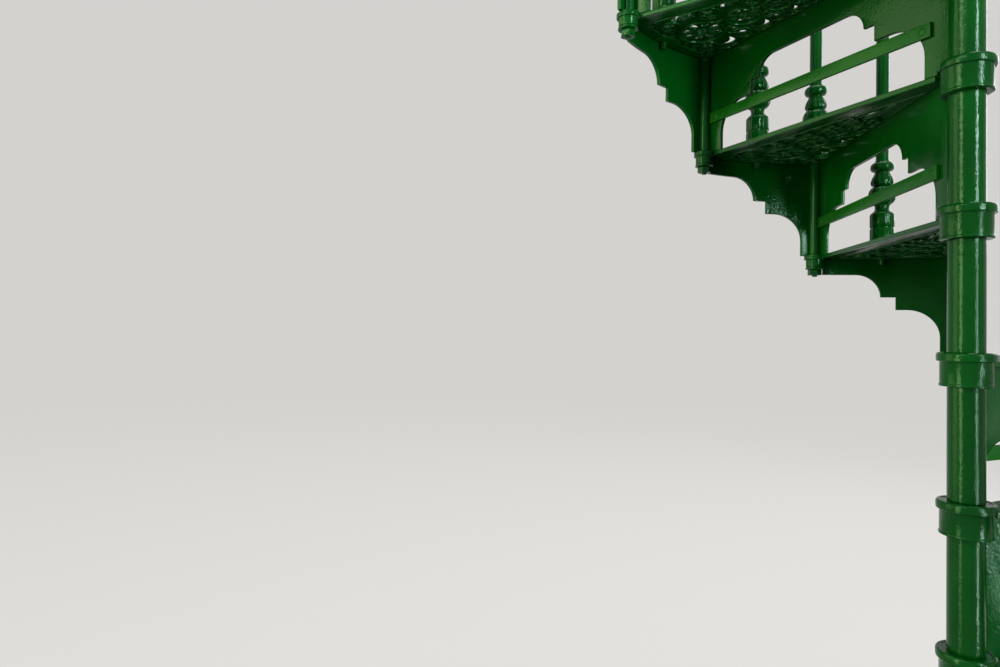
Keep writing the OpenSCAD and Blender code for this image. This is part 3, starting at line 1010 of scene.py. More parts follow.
    def relief(self) -> list[bpy.types.Object]:
        """Bars, rings and scrolls that stand out under the field.

        Returns:
            One piece for each kind of bar.
        """
        under = -self.thickness - self.bar_out
        rings: list[Outline] = []
        eyes: list[Outline] = []
        veins: list[Outline] = []
        scrolls: list[Outline] = []
        for k in range(self.rosettes):
            radius, ring = self.ring_at(k), self.ring_r(k)
            centre, face = self.at(radius), self.facing(radius)
            rings.append(round_hole(centre, ring * self.ring_line, 28))
            eyes.append(round_hole(centre, ring * self.eye_line, 14))
            for i in range(self.petals):
                a = face + (i + 0.5) * 360 / self.petals
                veins.append([away(centre, ring * t, a) for t in self.vein_at])
            scrolls += self.side_scrolls(k, -1) + self.side_scrolls(k, 1)
        eyes += [round_hole(centre, self.border_w * self.row_line, 12) for centre in self.row]
        rib = self.row_r - self.border_w * self.rib_at
        veins.append([self.at(rib, self.rib_reach * self.half(rib) * i / 12) for i in range(-12, 13)])
        veins += [[self.at(self.tip_r - back + t * length) for t in (0, 0.25, 0.5, 0.75, 1)]
                  for back, length in self.tip_veins]
        radius, off = self.corner_eye_at()
        for way in (-1, 1):
            scrolls.append(self.scroll(self.at(radius, way * off), 180 + self.corner_curl.start * way,
                                       self.corner_curl, self.first_ring, way))
        thin = self.bar_r * self.thin_bar
        edge = self.border(self.rim_w + 1)
        return [bars("rings", rings, self.bar_r, under, True),
                bars("eyes", eyes, thin, under, True),
                bars("veins", veins, thin, under),
                bars("scrolls", scrolls, self.bar_r * self.scroll_bar, under),
                bars("edge_bead", [edge], self.bead_r, -self.plan.plate_t + self.bar_out, True)]

    def build(self) -> list[bpy.types.Object]:
        """Builds the field's plate and its relief.

        Returns:
            The plate, with its upper face marked as worn, and the pieces of the relief.
        """
        outlines = [self.border(self.rim_w - 4)] + self.holes()
        plate = flat_casting("field", outlines, self.thickness, -self.thickness - self.sunk, self.edge)
        return [wear_top(plate), *self.relief()]


@dataclass
class Treads:
    """Nine treads and the quarter landing, cast from one pierced field."""

    plan: StairPlan
    front_lug_r: float = 30
    lug_r: float = 24
    boss_r: float = 19.5
    boss_h: float = 24
    edge: float = 1.6

    def rim_outline(self, angle: float) -> Outline:
        """Outer outline of a tread, or of the landing when the angle is wider.

        Args:
            angle: Angle that the casting covers, in degrees.

        Returns:
            The outline.
        """
        plan = self.plan
        reach = plan.plate_r
        start = plan.edge_point(0, plan.edge_reach(reach, -plan.front_off), -plan.front_off)
        end = plan.edge_point(angle, plan.edge_reach(reach, 0), 0)
        first = math.degrees(math.atan2(start[1], start[0]))
        last = math.degrees(math.atan2(end[1], end[0])) % 360
        points = [plan.edge_point(0, -plan.edge_len, -plan.front_off)]
        points += arc((0, 0), reach, first, last, round(angle * 1.2))
        points.append(plan.edge_point(angle, -plan.edge_len, 0))
        if angle > plan.step_angle:
            points.append((0, 0))
        return points

    def rim(self, angle: float, field_plate: TreadField) -> bpy.types.Object:
        """The thick rim, with an opening for each field.

        Args:
            angle: Angle that the casting covers, in degrees.
            field_plate: The field that fills each opening.

        Returns:
            The rim, with its upper face at zero and marked as worn.
        """
        plan = self.plan
        opening = field_plate.border(field_plate.rim_w)
        outlines = [self.rim_outline(angle)]
        for i in range(round(angle / plan.step_angle)):
            outlines.append([turned(i * plan.step_angle, point) for point in opening])
        return wear_top(flat_casting("rim", outlines, plan.plate_t, -plan.plate_t, self.edge, 2))

    def hub(self) -> bpy.types.Object:
        """The ring and the collar round the column.

        Returns:
            The hub, with the tread's upper face at zero.
        """
        r, c = self.plan.flange_r, self.plan.collar_r
        low, high = -self.plan.collar_h, self.plan.flange_h
        profile = [(c - 6, low), (c - 1, low), (c + 0.8, low + 0.8), (c + 1.2, low + 2.5),
                   (c + 0.8, low + 4.2), (c, low + 5), (c, -1.5), (c + 0.6, -0.6), (r - 1, -0.6),
                   (r, 0.6), (r + 0.2, 3),
                   (r + 0.2, high - 4), (r - 0.6, high - 1.4), (r - 2.2, high), (r - 6, high),
                   (r - 7, high - 0.8), (r - 12, high - 0.8)]
        return turned_piece("hub", profile, 56)

    def lug(self, radius: float) -> bpy.types.Object:
        """A round lug that is a little thicker than the rim.

        Args:
            radius: Radius of the lug.

        Returns:
            The lug, on the Z axis.
        """
        low, high = -self.plan.plate_t - 1.2, 0.5
        profile = [(radius - 3, low), (radius - 1.2, low + 0.5), (radius, low + 2.2), (radius, low + 3.6),
                   (radius - 0.8, low + 4.6), (radius - 0.8, high - 4.6), (radius, high - 3.6),
                   (radius, high - 1.6), (radius - 1.2, high - 0.3), (radius - 3, high)]
        return turned_piece("lug", profile, 36)

    def boss(self) -> bpy.types.Object:
        """The boss under the back corner, with its bead and its groove.

        Returns:
            The boss, on the Z axis.
        """
        top, low, r = -self.plan.plate_t + 0.5, -self.plan.plate_t - self.boss_h, self.boss_r
        profile = [(r - 5, low), (r - 1.5, low), (r + 0.9, low + 0.9), (r + 1.2, low + 2.4),
                   (r + 0.8, low + 4), (r - 1.2, low + 5), (r - 1.2, low + 5.8), (r, low + 6.8),
                   (r, top - 3), (r + 1.4, top)]
        return turned_piece("boss", profile, 36)

    def build(self, paints: Paints) -> None:
        """Builds one tread, copies it up the flight, and builds the landing.

        Args:
            paints: The finishes of the stair.
        """
        plan = self.plan
        pattern = TreadField(plan)
        fields = pattern.build()
        hub = self.hub()
        front = self.lug(self.front_lug_r)
        back = self.lug(self.lug_r)
        middle = self.lug(plan.middle_lug_r)
        boss = self.boss()
        place_piece(front, about(0, plan.corner_r))
        landing = [copy_piece(piece, about(plan.step_angle * i))
                   for i in range(round(plan.landing_angle / plan.step_angle)) for piece in fields]
        landing += [copy_piece(middle, about(a, plan.middle_r)) for a in plan.landing_posts]
        landing += [copy_piece(piece, Matrix()) for piece in (hub, front)]
        landing.append(self.rim(plan.landing_angle, pattern))
        landing_piece = join_pieces("landing_casting", landing)
        place_piece(landing_piece, plan.at_step(plan.landing_step, plan.landing_z))
        paints.finish(landing_piece, Slot.IRON, "landing_plate")
        place_piece(middle, about(plan.step_angle / 2, plan.middle_r))
        place_piece(back, about(plan.step_angle, plan.corner_r))
        place_piece(boss, about(plan.step_angle, plan.corner_r))
        rim = self.rim(plan.step_angle, pattern)
        tread = join_pieces("tread_casting", [rim, hub, front, back, middle, boss, *fields])
        for n in range(1, plan.steps + 1):
            piece = copy_piece(tread, plan.at_step(n, n * plan.rise))
            piece.name = f"tread_casting_{n}"
            paints.finish(piece, Slot.IRON, f"tread_{n}")
        discard(tread)


@dataclass
class Risers:
    """Open risers with scalloped corners, and the guard bar bolted across the back of each."""

    plan: StairPlan
    leg: float = 44
    opening_near: float = 57
    opening_h: float = 168
    low_cove: float = 62
    high_cove: float = 38
    step_w: float = 28
    step_h: float = 30
    shelf_w: float = 21
    # Distance of the plate's inner edge from the column's axis
    hub_side: float = 18
    edge: float = 1.1
    guard_h: float = 24
    guard_t: float = 6
    guard_z: float = 78
    guard_edge: float = 0.9
    # Gaps of the bar's ends, and distances of the screws from them, at the column and at the corner
    guard_gaps: Point = (4, 2)
    screws_in: Point = (14, 20)

    @property
    def half(self) -> float:
        """Half the width of the opening."""
        return (self.plan.corner_r - self.opening_near - self.leg) / 2

    def half_opening(self) -> Outline:
        """The opening's outline from the foot of a leg to the middle of its top, x out from the middle.

        Returns:
            The points, with the outer one first.
        """
        shelf = self.half - self.low_cove
        step = shelf - self.step_w
        flat = step - self.shelf_w - self.high_cove
        high = self.opening_h - self.high_cove
        low = high - self.step_h
        points: Outline = [(self.half, 0)]
        points += arc((shelf, low - self.low_cove), self.low_cove, 0, 90, 12)
        points += [(step, low), (step, high)]
        points += arc((flat, high), self.high_cove, 0, 90, 10)
        return points

    def outline(self) -> Outline:
        """Outline of a riser: x = 0 at the corner, the column's axis near x = -corner_r.

        Returns:
            The closed outline, whose opening is a part of it.
        """
        plan = self.plan
        middle = -self.leg - self.half
        inner = -plan.corner_r + self.hub_side
        outer = -math.sqrt((plan.post_r - 1) ** 2 - plan.edge_corner ** 2)
        side = self.half_opening()
        points: Outline = [(outer, 0), (outer, plan.riser_h), (inner, plan.riser_h), (inner, 0)]
        points += [(middle - x, y) for x, y in side]
        points += [(middle + x, y) for x, y in reversed(side)]
        return points

    def guard_bar(self) -> bpy.types.Object:
        """The flat bar with a screw head near each end, drawn in the plane of the riser.

        Returns:
            The bar with its screws, behind the plane of the riser.
        """
        plan = self.plan
        inner, outer = -plan.edge_len + self.guard_gaps[0], -plan.post_r - self.guard_gaps[1]
        low, high = self.guard_z - self.guard_h / 2, self.guard_z + self.guard_h / 2
        bar = flat_casting("guard_bar", [[(inner, low), (outer, low), (outer, high), (inner, high)]],
                           self.guard_t, -self.guard_t, self.guard_edge, 2)
        head = [(0, -1), (6.4, -1), (6.4, 0.3), (5.6, 1.0), (3.2, 1.5), (0, 1.7)]
        turn_over = Matrix.Rotation(math.pi, 4, "X")
        screws = []
        for x in (inner + self.screws_in[0], outer - self.screws_in[1]):
            place = Matrix.Translation((x * MM, self.guard_z * MM, -self.guard_t * MM))
            screws.append(place_piece(turned_piece("screw", head, 20, 60), place @ turn_over))
        return join_pieces("guard_bar", [bar, *screws])

    def build(self, paints: Paints) -> None:
        """Builds a riser and a bar, and copies them up the flight.

        Args:
            paints: The finishes of the stair.
        """
        upright = Matrix.Rotation(math.pi / 2, 4, "X")
        riser = flat_casting("riser", [self.outline()], self.plan.riser_t, 0, self.edge, 2)
        bar = self.guard_bar()
        bar_copies = []
        for n in range(1, self.plan.landing_step + 1):
            place = self.plan.on_edge(n) @ upright
            piece = copy_piece(riser, place)
            piece.name = f"scalloped_riser_{n}"
            paints.finish(piece, Slot.IRON, f"riser_{n}")
            bar_copies.append(copy_piece(bar, place))
        paints.finish(join_pieces("guard_bar_set", bar_copies), Slot.IRON, "guard_bars", on_bars=True)
        discard(riser, bar)


@dataclass
class Brackets:
    """Curved brackets under the outer edge, each with the post at its deep end, and the landing's skirt."""

    plan: StairPlan
    thickness: float = 8
    off: float = 8
    thin: float = 36
    leg: float = 30
    low_cove: float = 64
    shelf: float = 24
    step_w: float = 32
    step_h: float = 30
    high_cove: float = 54
    edge: float = 1.1
    # Greatest length of a flat facet of the bent plate
    facet: float = 14
    boss_r: float = 19.5
    boss_gap: float = 2
    # Joint between the last bracket and the skirt, and the skirt's other end, in degrees
    joint: float = 0.05
    skirt_back: float = 3

    @property
    def radius(self) -> float:
        """Radius of the middle of the bent plate."""
        return self.plan.corner_r + self.off

    @property
    def back(self) -> float:
        """Angle from the deep end to the thin end, which stops short of the next tread's boss."""
        boss = math.asin((self.boss_r + self.boss_gap) / self.plan.corner_r)
        return self.plan.step_angle - math.degrees(boss)

    def along(self, chord: float) -> float:
        """Length round the plate from its deep end, for a length on the tread's chord.

        Args:
            chord: Length along the chord, from the bracket's deep end.

        Returns:
            The length round the plate.
        """
        half = math.radians(self.plan.step_angle / 2)
        reach = math.sin(half) - chord / self.radius
        return (half - math.asin(max(-1, reach))) * self.radius

    def outline(self) -> Outline:
        """Outline of a bracket laid flat: x runs back from the post, y is the height under the tread.

        Returns:
            The closed outline.
        """
        plan = self.plan
        cove_end = self.leg + self.low_cove
        shelf_end = cove_end + self.shelf
        step_end = shelf_end + self.step_w
        step_y = -self.thin - self.high_cove
        cove_y = step_y - self.step_h
        back = math.radians(self.back)
        upper = arc((step_end + self.high_cove, step_y), self.high_cove, 90, 180, 12)
        lower = arc((cove_end, cove_y - self.low_cove), self.low_cove, 90, 180, 14)
        curved = upper + [(shelf_end, step_y), (shelf_end, cove_y)] + lower + [(self.leg, -plan.riser_h)]
        points: Outline = [(0, 0), (0, -plan.riser_h)]
        points += [(self.along(x), y) for x, y in reversed(curved)]
        points += [(back * self.radius, -self.thin), (back * self.radius, 0)]
        return points

    def bent_plate(self, name: str, outline: Outline) -> bpy.types.Object:
        """Casts an upright plate and bends it round the column. Its x = 0 ends at angle 0.

        Args:
            name: Name of the plate.
            outline: Its outline when laid flat.

        Returns:
            The bent plate.
        """
        plate = flat_casting(name, [outline], self.thickness, -self.thickness / 2, self.edge, 2)
        place_piece(plate, Matrix.Rotation(math.pi / 2, 4, "X"))
        length = max(x for x, _ in outline)
        select_only(plate)
        bpy.ops.object.mode_set(mode="EDIT")
        cuts = max(4, round(length / self.facet))
        for i in range(1, cuts):
            bpy.ops.mesh.select_all(action="SELECT")
            bpy.ops.mesh.bisect(plane_co=(length * MM * i / cuts, 0, 0), plane_no=(1, 0, 0))
        bpy.ops.object.mode_set(mode="OBJECT")
        place_piece(plate, Matrix.Translation((-length / 2 * MM, 0, 0)))
        bend = plate.modifiers.new("bend", "SIMPLE_DEFORM")
        bend.deform_method = "BEND"
        bend.deform_axis = "Z"
        bend.angle = length / self.radius
        bpy.ops.object.modifier_apply(modifier=bend.name)
        place_piece(plate, Matrix.Rotation(length / self.radius / 2 + math.pi / 2, 4, "Z")
                    @ Matrix.Translation((0, -self.radius * MM, 0)))
        clean_mesh(plate)
        return plate

    def post(self) -> bpy.types.Object:
        """The round post at the deep end.

        Returns:
            The post, under the corner at angle 0.
        """
        plan = self.plan
        r, h = plan.post_r, plan.riser_h
        profile = [(0, 0), (r + 1, 0), (r + 1.6, 1), (r + 1.6, 4), (r, 5.4), (r, h - 5.4), (r + 1.6, h - 4),
                   (r + 1.6, h), (0, h)]
        return place_piece(turned_piece("post", profile, 28), about(0, plan.corner_r))

    def build(self, paints: Paints) -> None:
        """Builds a bracket and copies it up the flight, then the skirt.

        Args:
            paints: The finishes of the stair.
        """
        plan = self.plan
        plate = place_piece(self.bent_plate("plate", self.outline()), about(0, 0, plan.riser_h))
        bracket = join_pieces("bracket", [plate, self.post()])
        for n in range(1, plan.landing_step + 1):
            piece = copy_piece(bracket, plan.at_step(n, (n - 1) * plan.rise))
            piece.name = f"curved_bracket_{n}"
            paints.finish(piece, Slot.IRON, f"bracket_{n}")
        discard(bracket)
        start = self.back + self.joint
        length = math.radians(plan.landing_angle - start - self.skirt_back) * self.radius
        skirt = self.bent_plate("skirt", [(0, 0), (length, 0), (length, self.thin), (0, self.thin)])
        low = plan.landing_z - plan.plate_t - self.thin
        place_piece(skirt, plan.at_step(plan.landing_step, low) @ about(start))
        skirt.name = "landing_edge_plate"
        paints.finish(skirt, Slot.IRON, "landing_skirt")


@dataclass
class Fixings:
    """Nuts under the corner bosses, and bolt ends under the other balusters."""

    plan: StairPlan
    across_flats: float = 27
    nut_h: float = 14
    boss_h: float = 24
    nut_edge: float = 1.6
    bolt_r: float = 8
    bolt_h: float = 14

    def nut(self) -> bpy.types.Object:
        """A hexagon nut with the end of its stud.

        Returns:
            The nut, with its upper face at zero.
        """
        corner = self.across_flats / math.sqrt(3)
        hexagon = [polar(corner, 60 * i) for i in range(6)]
        nut = flat_casting("nut", [hexagon], self.nut_h, -self.nut_h, self.nut_edge, 2)
        stud = turned_piece("stud", [(0, -3.5), (4.5, -3.5), (6, -2), (6, 1), (0, 1)], 20)
        return join_pieces("nut", [nut, place_piece(stud, about(0, 0, -self.nut_h))])

    def bolt(self) -> bpy.types.Object:
        """The round end of a bolt.

        Returns:
            The bolt's end, which hangs from zero.
        """
        r, h = self.bolt_r, self.bolt_h
        profile = [(0, -h), (r - 2.6, -h), (r - 0.8, -h + 1.4), (r - 0.6, -h + 7), (r, -h + 7.6),
                   (r, 1), (0, 1)]
        return turned_piece("bolt", profile, 24)

    def build(self, paints: Paints) -> None:
        """Builds a nut and a bolt end, and sets them along the flight and the landing.

        Args:
            paints: The finishes of the stair.
        """
        plan = self.plan
        nut = self.nut()
        bolt = self.bolt()
        placed = []
        for n in range(1, plan.steps + 1):
            low = n * plan.rise - plan.plate_t
            placed.append(copy_piece(nut, plan.at_step(n + 1, low - self.boss_h, plan.corner_r)))
            placed.append(copy_piece(bolt, plan.at_step(n + 0.5, low, plan.middle_r)))
        low = plan.landing_z - plan.plate_t
        for a in plan.landing_posts:
            place = plan.at_step(plan.landing_step + a / plan.step_angle, low, plan.middle_r)
            placed.append(copy_piece(bolt, place))
        paints.finish(join_pieces("nuts_and_bolt_ends", placed), Slot.FIXINGS, "corner_nuts")
        discard(nut, bolt)


@dataclass
class Column:
    """Spacer sleeves between the hubs, the newel over the landing and its cap, and the floor plate."""

    plan: StairPlan
    base_r: float = 150
    base_t: float = 14
    hole_r: float = 7
    hole_ring: float = 110
    boss_h: float = 14
    base_edge: float = 1.8
    ball_r: float = 34
    ball_z: float = 51.9

    def tube(self, name: str, low: float, high: float) -> bpy.types.Object:
        """A plain sleeve with a hair of a chamfer at its ends.

        Args:
            name: Name of the sleeve.
            low: Level of its lower end.
            high: Level of its upper end.

        Returns:
            The sleeve, in its place.
        """
        r = self.plan.sleeve_r
        profile = [(0, low - 2), (r - 1, low - 2), (r - 0.5, low), (r, low + 0.6),
                   (r, high - 0.6), (r - 0.5, high), (r - 1, high + 2), (0, high + 2)]
        return turned_piece(name, profile, 56)

    def build(self, paints: Paints) -> None:
        """Builds the column from the floor up.

        Args:
            paints: The finishes of the stair.
        """
        plan = self.plan
        sleeves = []
        for n in range(1, plan.landing_step + 1):
            low = plan.collar_h if n == 1 else (n - 1) * plan.rise + plan.flange_h
            sleeves.append(self.tube("sleeve", low, n * plan.rise - plan.collar_h))
        paints.finish(join_pieces("column_tubes", sleeves), Slot.IRON, "column_sleeves")
        newel = self.tube("newel_tube", plan.landing_z + plan.flange_h, plan.newel_top)
        paints.finish(newel, Slot.IRON, "newel")
        paints.finish(self.cap(), Slot.IRON, "newel_cap")
        paints.finish(self.floor_plate(), Slot.IRON, "base_plate")

    def cap(self) -> bpy.types.Object:
        """The newel's cap: a ring, a neck and a ball with a small button.

        Returns:
            The cap, on top of the newel.
        """
        r, s = self.plan.flange_r, self.plan.sleeve_r
        neck = [(0, -2), (s, -2), (s, 0), (r - 1, 0), (r, 1), (r, 9), (r - 1, 10), (s + 4, 10),
                (s + 2.4, 11.6), (s - 3, 17), (15.5, 22), (14.2, 24)]
        ball = arc((0, self.ball_z), self.ball_r, -65, 80, 22)
        button = [(5.5, 86), (6.4, 87), (5.6, 89.2), (3, 90.4), (0, 90.8)]
        cap = turned_piece("cap", neck + ball + button, 48, 30)
        cap.name = "newel_finial"
        return place_piece(cap, about(0, 0, self.plan.newel_top))

    def floor_plate(self) -> bpy.types.Object:
        """The round floor plate with its bolt holes and its boss.

        Returns:
            The floor plate, in its place.
        """
        plan = self.plan
        holes = [round_hole(polar(self.hole_ring, a), self.hole_r, 20) for a in (45, 135, 225, 315)]
        rim = round_hole((0, 0), self.base_r, 96)
        plate = flat_casting("plate", [rim, *holes], self.base_t, 0, self.base_edge, 3)
        r, t, h = plan.collar_r, self.base_t, self.boss_h
        profile = [(0, 1), (r + 22, 1), (r + 22, t), (r + 21, t + 1), (r + 12.5, t + h - 2),
                   (r + 10, t + h), (r + 1.4, t + h), (r, t + h + 1.4), (r, plan.collar_h - 1.2),
                   (r - 1.2, plan.collar_h), (0, plan.collar_h)]
        return join_pieces("round_floor_plate", [plate, turned_piece("boss", profile, 64)])


@dataclass
class Balusters:
    """Turned and fluted balusters: a thick foot, a bead, a vase and a disc under a slender shaft."""

    plan: StairPlan
    foot_r: float = 26
    bead_r: float = 29.5
    shaft_r: float = 14
    middle_foot_h: float = 97
    corner_foot_h: float = 58
    lobes: int = 12
    # Shares of the radius that are left in a flute, and where in a lobe the flute starts
    foot_flute: float = 0.93
    body_flute: float = 0.87
    flute_w: float = 0.4
    # How far a shaft runs on into the rail
    sink: float = 1

    def profile(self, height: float, foot: float) -> Outline:
        """Profile of a baluster that reaches a height.

        Args:
            height: Height of the baluster.
            foot: Height of its foot.

        Returns:
            The profile from the bottom up.
        """
        f, s = self.foot_r, self.shaft_r
        v, d = f - 1.5, f - 0.5
        neck = s + 1.5
        points: Outline = [(0, 0), (f - 1, 0), (f, 1), (f, foot - 35), (f - 1.8, foot - 33.4),
                           (f - 1.8, foot - 31.2), (f, foot - 29.6), (f, foot - 1), (f - 1.2, foot + 1.5),
                           (f - 4, foot + 4.5), (f - 7, foot + 7), (neck + 1.5, foot + 9.5),
                           (neck, foot + 12.5), (neck, foot + 20)]
        bead = [math.radians(a) for a in range(-75, 76, 15)]
        points += [(self.bead_r - 14 + 14 * math.cos(a), foot + 46 + 21.5 * math.sin(a)) for a in bead]
        points += [(neck + 1.5, foot + 69), (v - 2.5, foot + 70), (v - 1, foot + 72), (v, foot + 75.5),
                   (v - 0.4, foot + 80), (v - 2.6, foot + 87), (v - 5.6, foot + 93), (neck + 1, foot + 98),
                   (neck, foot + 101.5), (neck + 2, foot + 103), (d - 3, foot + 105.5),
                   (d - 0.8, foot + 109), (d, foot + 113), (d - 0.6, foot + 118), (d - 3, foot + 122),
                   (d - 6.5, foot + 124.5),
                   (neck, foot + 125.5), (neck, foot + 127.5), (s + 0.8, foot + 129), (s, foot + 131),
                   (s, height - s)]
        dome = [math.radians(a) for a in range(15, 91, 15)]
        points += [(s * math.cos(a), height - s + s * math.sin(a)) for a in dome]
        return points

    def flute(self, piece: bpy.types.Object, low: float, high: float, shrink: float) -> None:
        """Presses flutes into a band of a turned piece: draws in one upright line of points per lobe.

        Args:
            piece: The turned piece, of which nothing is selected.
            low: Lower end of the band.
            high: Upper end of the band.
            shrink: Share of the radius that is left in a flute.
        """
        pitch = 360 / self.lobes
        for vertex in piece.data.vertices:
            x, y, z = vertex.co
            off = (math.degrees(math.atan2(y, x)) + pitch / 2) % pitch - pitch / 2
            vertex.select = abs(off) > pitch * self.flute_w and low * MM < z < high * MM
        bpy.ops.object.mode_set(mode="EDIT")
        bpy.ops.transform.resize(value=(shrink, shrink, 1), center_override=(0, 0, 0))
        bpy.ops.mesh.select_all(action="DESELECT")
        bpy.ops.object.mode_set(mode="OBJECT")

    def baluster(self, height: float, foot: float) -> bpy.types.Object:
        """Turns one baluster and flutes its foot, bead and vase.

        Args:
            height: Height of the baluster.
            foot: Height of its foot.

        Returns:
            The baluster, on the Z axis.
        """
        piece = turned_piece("baluster", self.profile(height, foot), 4 * self.lobes, 50)
        select_only(piece)
        bpy.ops.object.mode_set(mode="EDIT")
        bpy.ops.mesh.select_mode(type="VERT")
        bpy.ops.mesh.select_all(action="DESELECT")
        bpy.ops.object.mode_set(mode="OBJECT")
        self.flute(piece, -1, foot + 2, self.foot_flute)
        self.flute(piece, foot + 26, foot + 66, self.body_flute)
        self.flute(piece, foot + 71, foot + 96, self.body_flute)
        return piece

    def build(self, paints: Paints) -> None:
        """Builds the balusters of the flight and of the landing.

        Args:
            paints: The finishes of the stair.
        """
        plan = self.plan
        top = plan.rail_z + self.shaft_r + self.sink
        slant = self.shaft_r * math.tan(plan.slope)
        corner = self.baluster(top + slant, self.corner_foot_h)
        middle = self.baluster(top + slant + plan.rise / 2, self.middle_foot_h)
        level = self.baluster(top, self.middle_foot_h)
        last = self.baluster(top, self.corner_foot_h)
        corners = [copy_piece(corner, plan.at_step(n, n * plan.rise, plan.corner_r))
                   for n in range(1, plan.steps + 1)]
        corners.append(copy_piece(last, plan.at_step(plan.landing_step, plan.landing_z, plan.corner_r)))
        paints.finish(join_pieces("corner_baluster_row", corners), Slot.IRON, "corner_balusters")
        middles = [copy_piece(middle, plan.at_step(n + 0.5, n * plan.rise, plan.middle_r))
                   for n in range(1, plan.steps + 1)]
        paints.finish(join_pieces("middle_baluster_row", middles), Slot.IRON, "middle_balusters")
        levels = []
        for a in plan.landing_posts:
            place = plan.at_step(plan.landing_step + a / plan.step_angle, plan.landing_z, plan.middle_r)
            levels.append(copy_piece(level, place))
        paints.finish(join_pieces("landing_baluster_row", levels), Slot.IRON, "landing_balusters")
        discard(corner, middle, level, last)


@dataclass
class HandRails:
    """The rail that winds up the flight, and the level rail round the landing."""

    plan: StairPlan
    # Step of the winding, in degrees
    facet: float = 2.5
    edge: float = 0.8
    # Points this near to a square end belong to it
    square_end: float = 3
    # How far the rail reaches past the first baluster, in degrees
    overhang: float = 3

    def section(self) -> bpy.types.Object:
        """The rail's moulded section, as a closed curve: flat below, round above.

        Returns:
            The section's curve, which isn't part of the stair.
        """
        w, h = self.plan.rail_w / 2, self.plan.rail_h
        side: Outline = [(0, 0), (w - 9, 0), (w - 8, 1), (w - 8, h * 0.24), (w - 6.5, h * 0.3),
                         (w - 1.5, h * 0.38), (w, h * 0.46), (w, h * 0.55)]
        round_top = [math.radians(a) for a in range(15, 91, 15)]
        top = [(w * math.cos(a), h * 0.55 + h * 0.45 * math.sin(a)) for a in round_top]
        half = side + top
        points = half + [(-x, y) for x, y in reversed(half[1:-1])]
        curve = bpy.data.curves.new("rail_section", "CURVE")
        spline = curve.splines.new("POLY")
        spline.points.add(len(points) - 1)
        for point, (x, y) in zip(spline.points, points):
            point.co = (-x * MM, y * MM, 0, 1)
        spline.use_cyclic_u = True
        section = bpy.data.objects.new("rail_section", curve)
        bpy.context.collection.objects.link(section)
        return section

    def rail(self, name: str, section: bpy.types.Object, start: float, sweep: float, low: float,
             climb: float) -> bpy.types.Object:
        """Sweeps the section along a winding path, from a start angle and height.

        Args:
            name: Name of the rail.
            section: The section's curve.
            start: Angle of its first end, in degrees.
            sweep: Angle that it winds through, in degrees.
            low: Level of the first end's underside.
            climb: How much higher the other end is.

        Returns:
            The rail, with square ends.
        """
        steps = round(sweep / self.facet)
        curve = bpy.data.curves.new(name, "CURVE")
        curve.dimensions = "3D"
        curve.twist_mode = "Z_UP"
        curve.bevel_mode = "OBJECT"
        curve.bevel_object = section
        curve.use_fill_caps = True
        spline = curve.splines.new("POLY")
        spline.points.add(steps)
        for i, point in enumerate(spline.points):
            x, y = polar(self.plan.corner_r, start + sweep * i / steps)
            point.co = (x * MM, y * MM, (low + climb * i / steps) * MM, 1)
        return curve_piece(name, curve, 30)

    def mitre(self, rail: bpy.types.Object, slope: float, cut: float) -> None:
        """Cuts a rail's end at the foot of the landing to the plane that halves the bend.

        Args:
            rail: The winding rail or the level one, still with its square ends.
            slope: Slope of this rail, in radians.
            cut: Tangent of the angle from its square end to the plane, more than zero where it ends here.
        """
        plan = self.plan
        turn = plan.turn(plan.landing_step)
        joint = Vector((*polar(plan.corner_r, turn), plan.landing_z + plan.rail_z)) * MM
        ahead, rise = math.cos(slope), math.sin(slope)
        along = Vector((*polar(ahead, turn + 90), rise))
        upward = Vector((*polar(-rise, turn + 90), ahead))
        for vertex in rail.data.vertices:
            off = vertex.co - joint
            if off.length < plan.rail_w * MM and abs(off.dot(along)) < self.square_end * MM:
                vertex.co += along * (off.dot(upward) * cut - off.dot(along))

    def build(self, paints: Paints) -> None:
        """Builds both rails, with a mitre where the slope meets the level.

        Args:
            paints: The finishes of the stair.
        """
        plan = self.plan
        section = self.section()
        turns = plan.steps + self.overhang / plan.step_angle
        level_z = plan.landing_z + plan.rail_z
        winding = self.rail("winding_rail", section, plan.turn(1) - self.overhang, turns * plan.step_angle,
                            level_z - turns * plan.rise, turns * plan.rise)
        level = self.rail("level_rail", section, plan.turn(plan.landing_step), plan.landing_angle,
                          level_z, 0)
        cut = math.tan(plan.slope / 2)
        self.mitre(winding, plan.slope, cut)
        self.mitre(level, 0, -cut)
        for rail in (winding, level):
            bevel_edges(rail, self.edge, 2, 60)
        paints.finish(winding, Slot.RAIL, "handrail")
        paints.finish(level, Slot.RAIL, "landing_rail")
        discard(section)


@dataclass
class PhotoCamera:
    """The camera's place, turned and tilted as the picture was taken."""

    place: Triple = (-0.669, -1.073, 1.184)
    heading: float = math.radians(3.27)
    tilt: float = math.radians(1.36)
    roll: float = math.radians(1.06)
    focal_px: float = 661.2
    centre_row: float = 315.1
    picture: tuple[int, int] = (1000, 667)
    sensor: float = 36.0
    nearest: float = 0.02

    def build(self) -> bpy.types.Object:
        """Makes the camera the scene's own.

        Returns:
            The camera.
        """
        data = bpy.data.cameras.new("view_camera")
        data.sensor_width = self.sensor
        data.lens = self.focal_px / self.picture[0] * self.sensor
        data.shift_y = (self.centre_row - self.picture[1] / 2) / self.picture[0]
        data.clip_start = self.nearest
        camera = bpy.data.objects.new("view_camera", data)
        bpy.context.collection.objects.link(camera)
        camera.matrix_world = (Matrix.Translation(self.place)
                               @ Matrix.Rotation(self.heading, 4, "Z")
                               @ Matrix.Rotation(math.pi / 2 + self.tilt, 4, "X")
                               @ Matrix.Rotation(self.roll, 4, "Z"))
        bpy.context.scene.camera = camera
        return camera


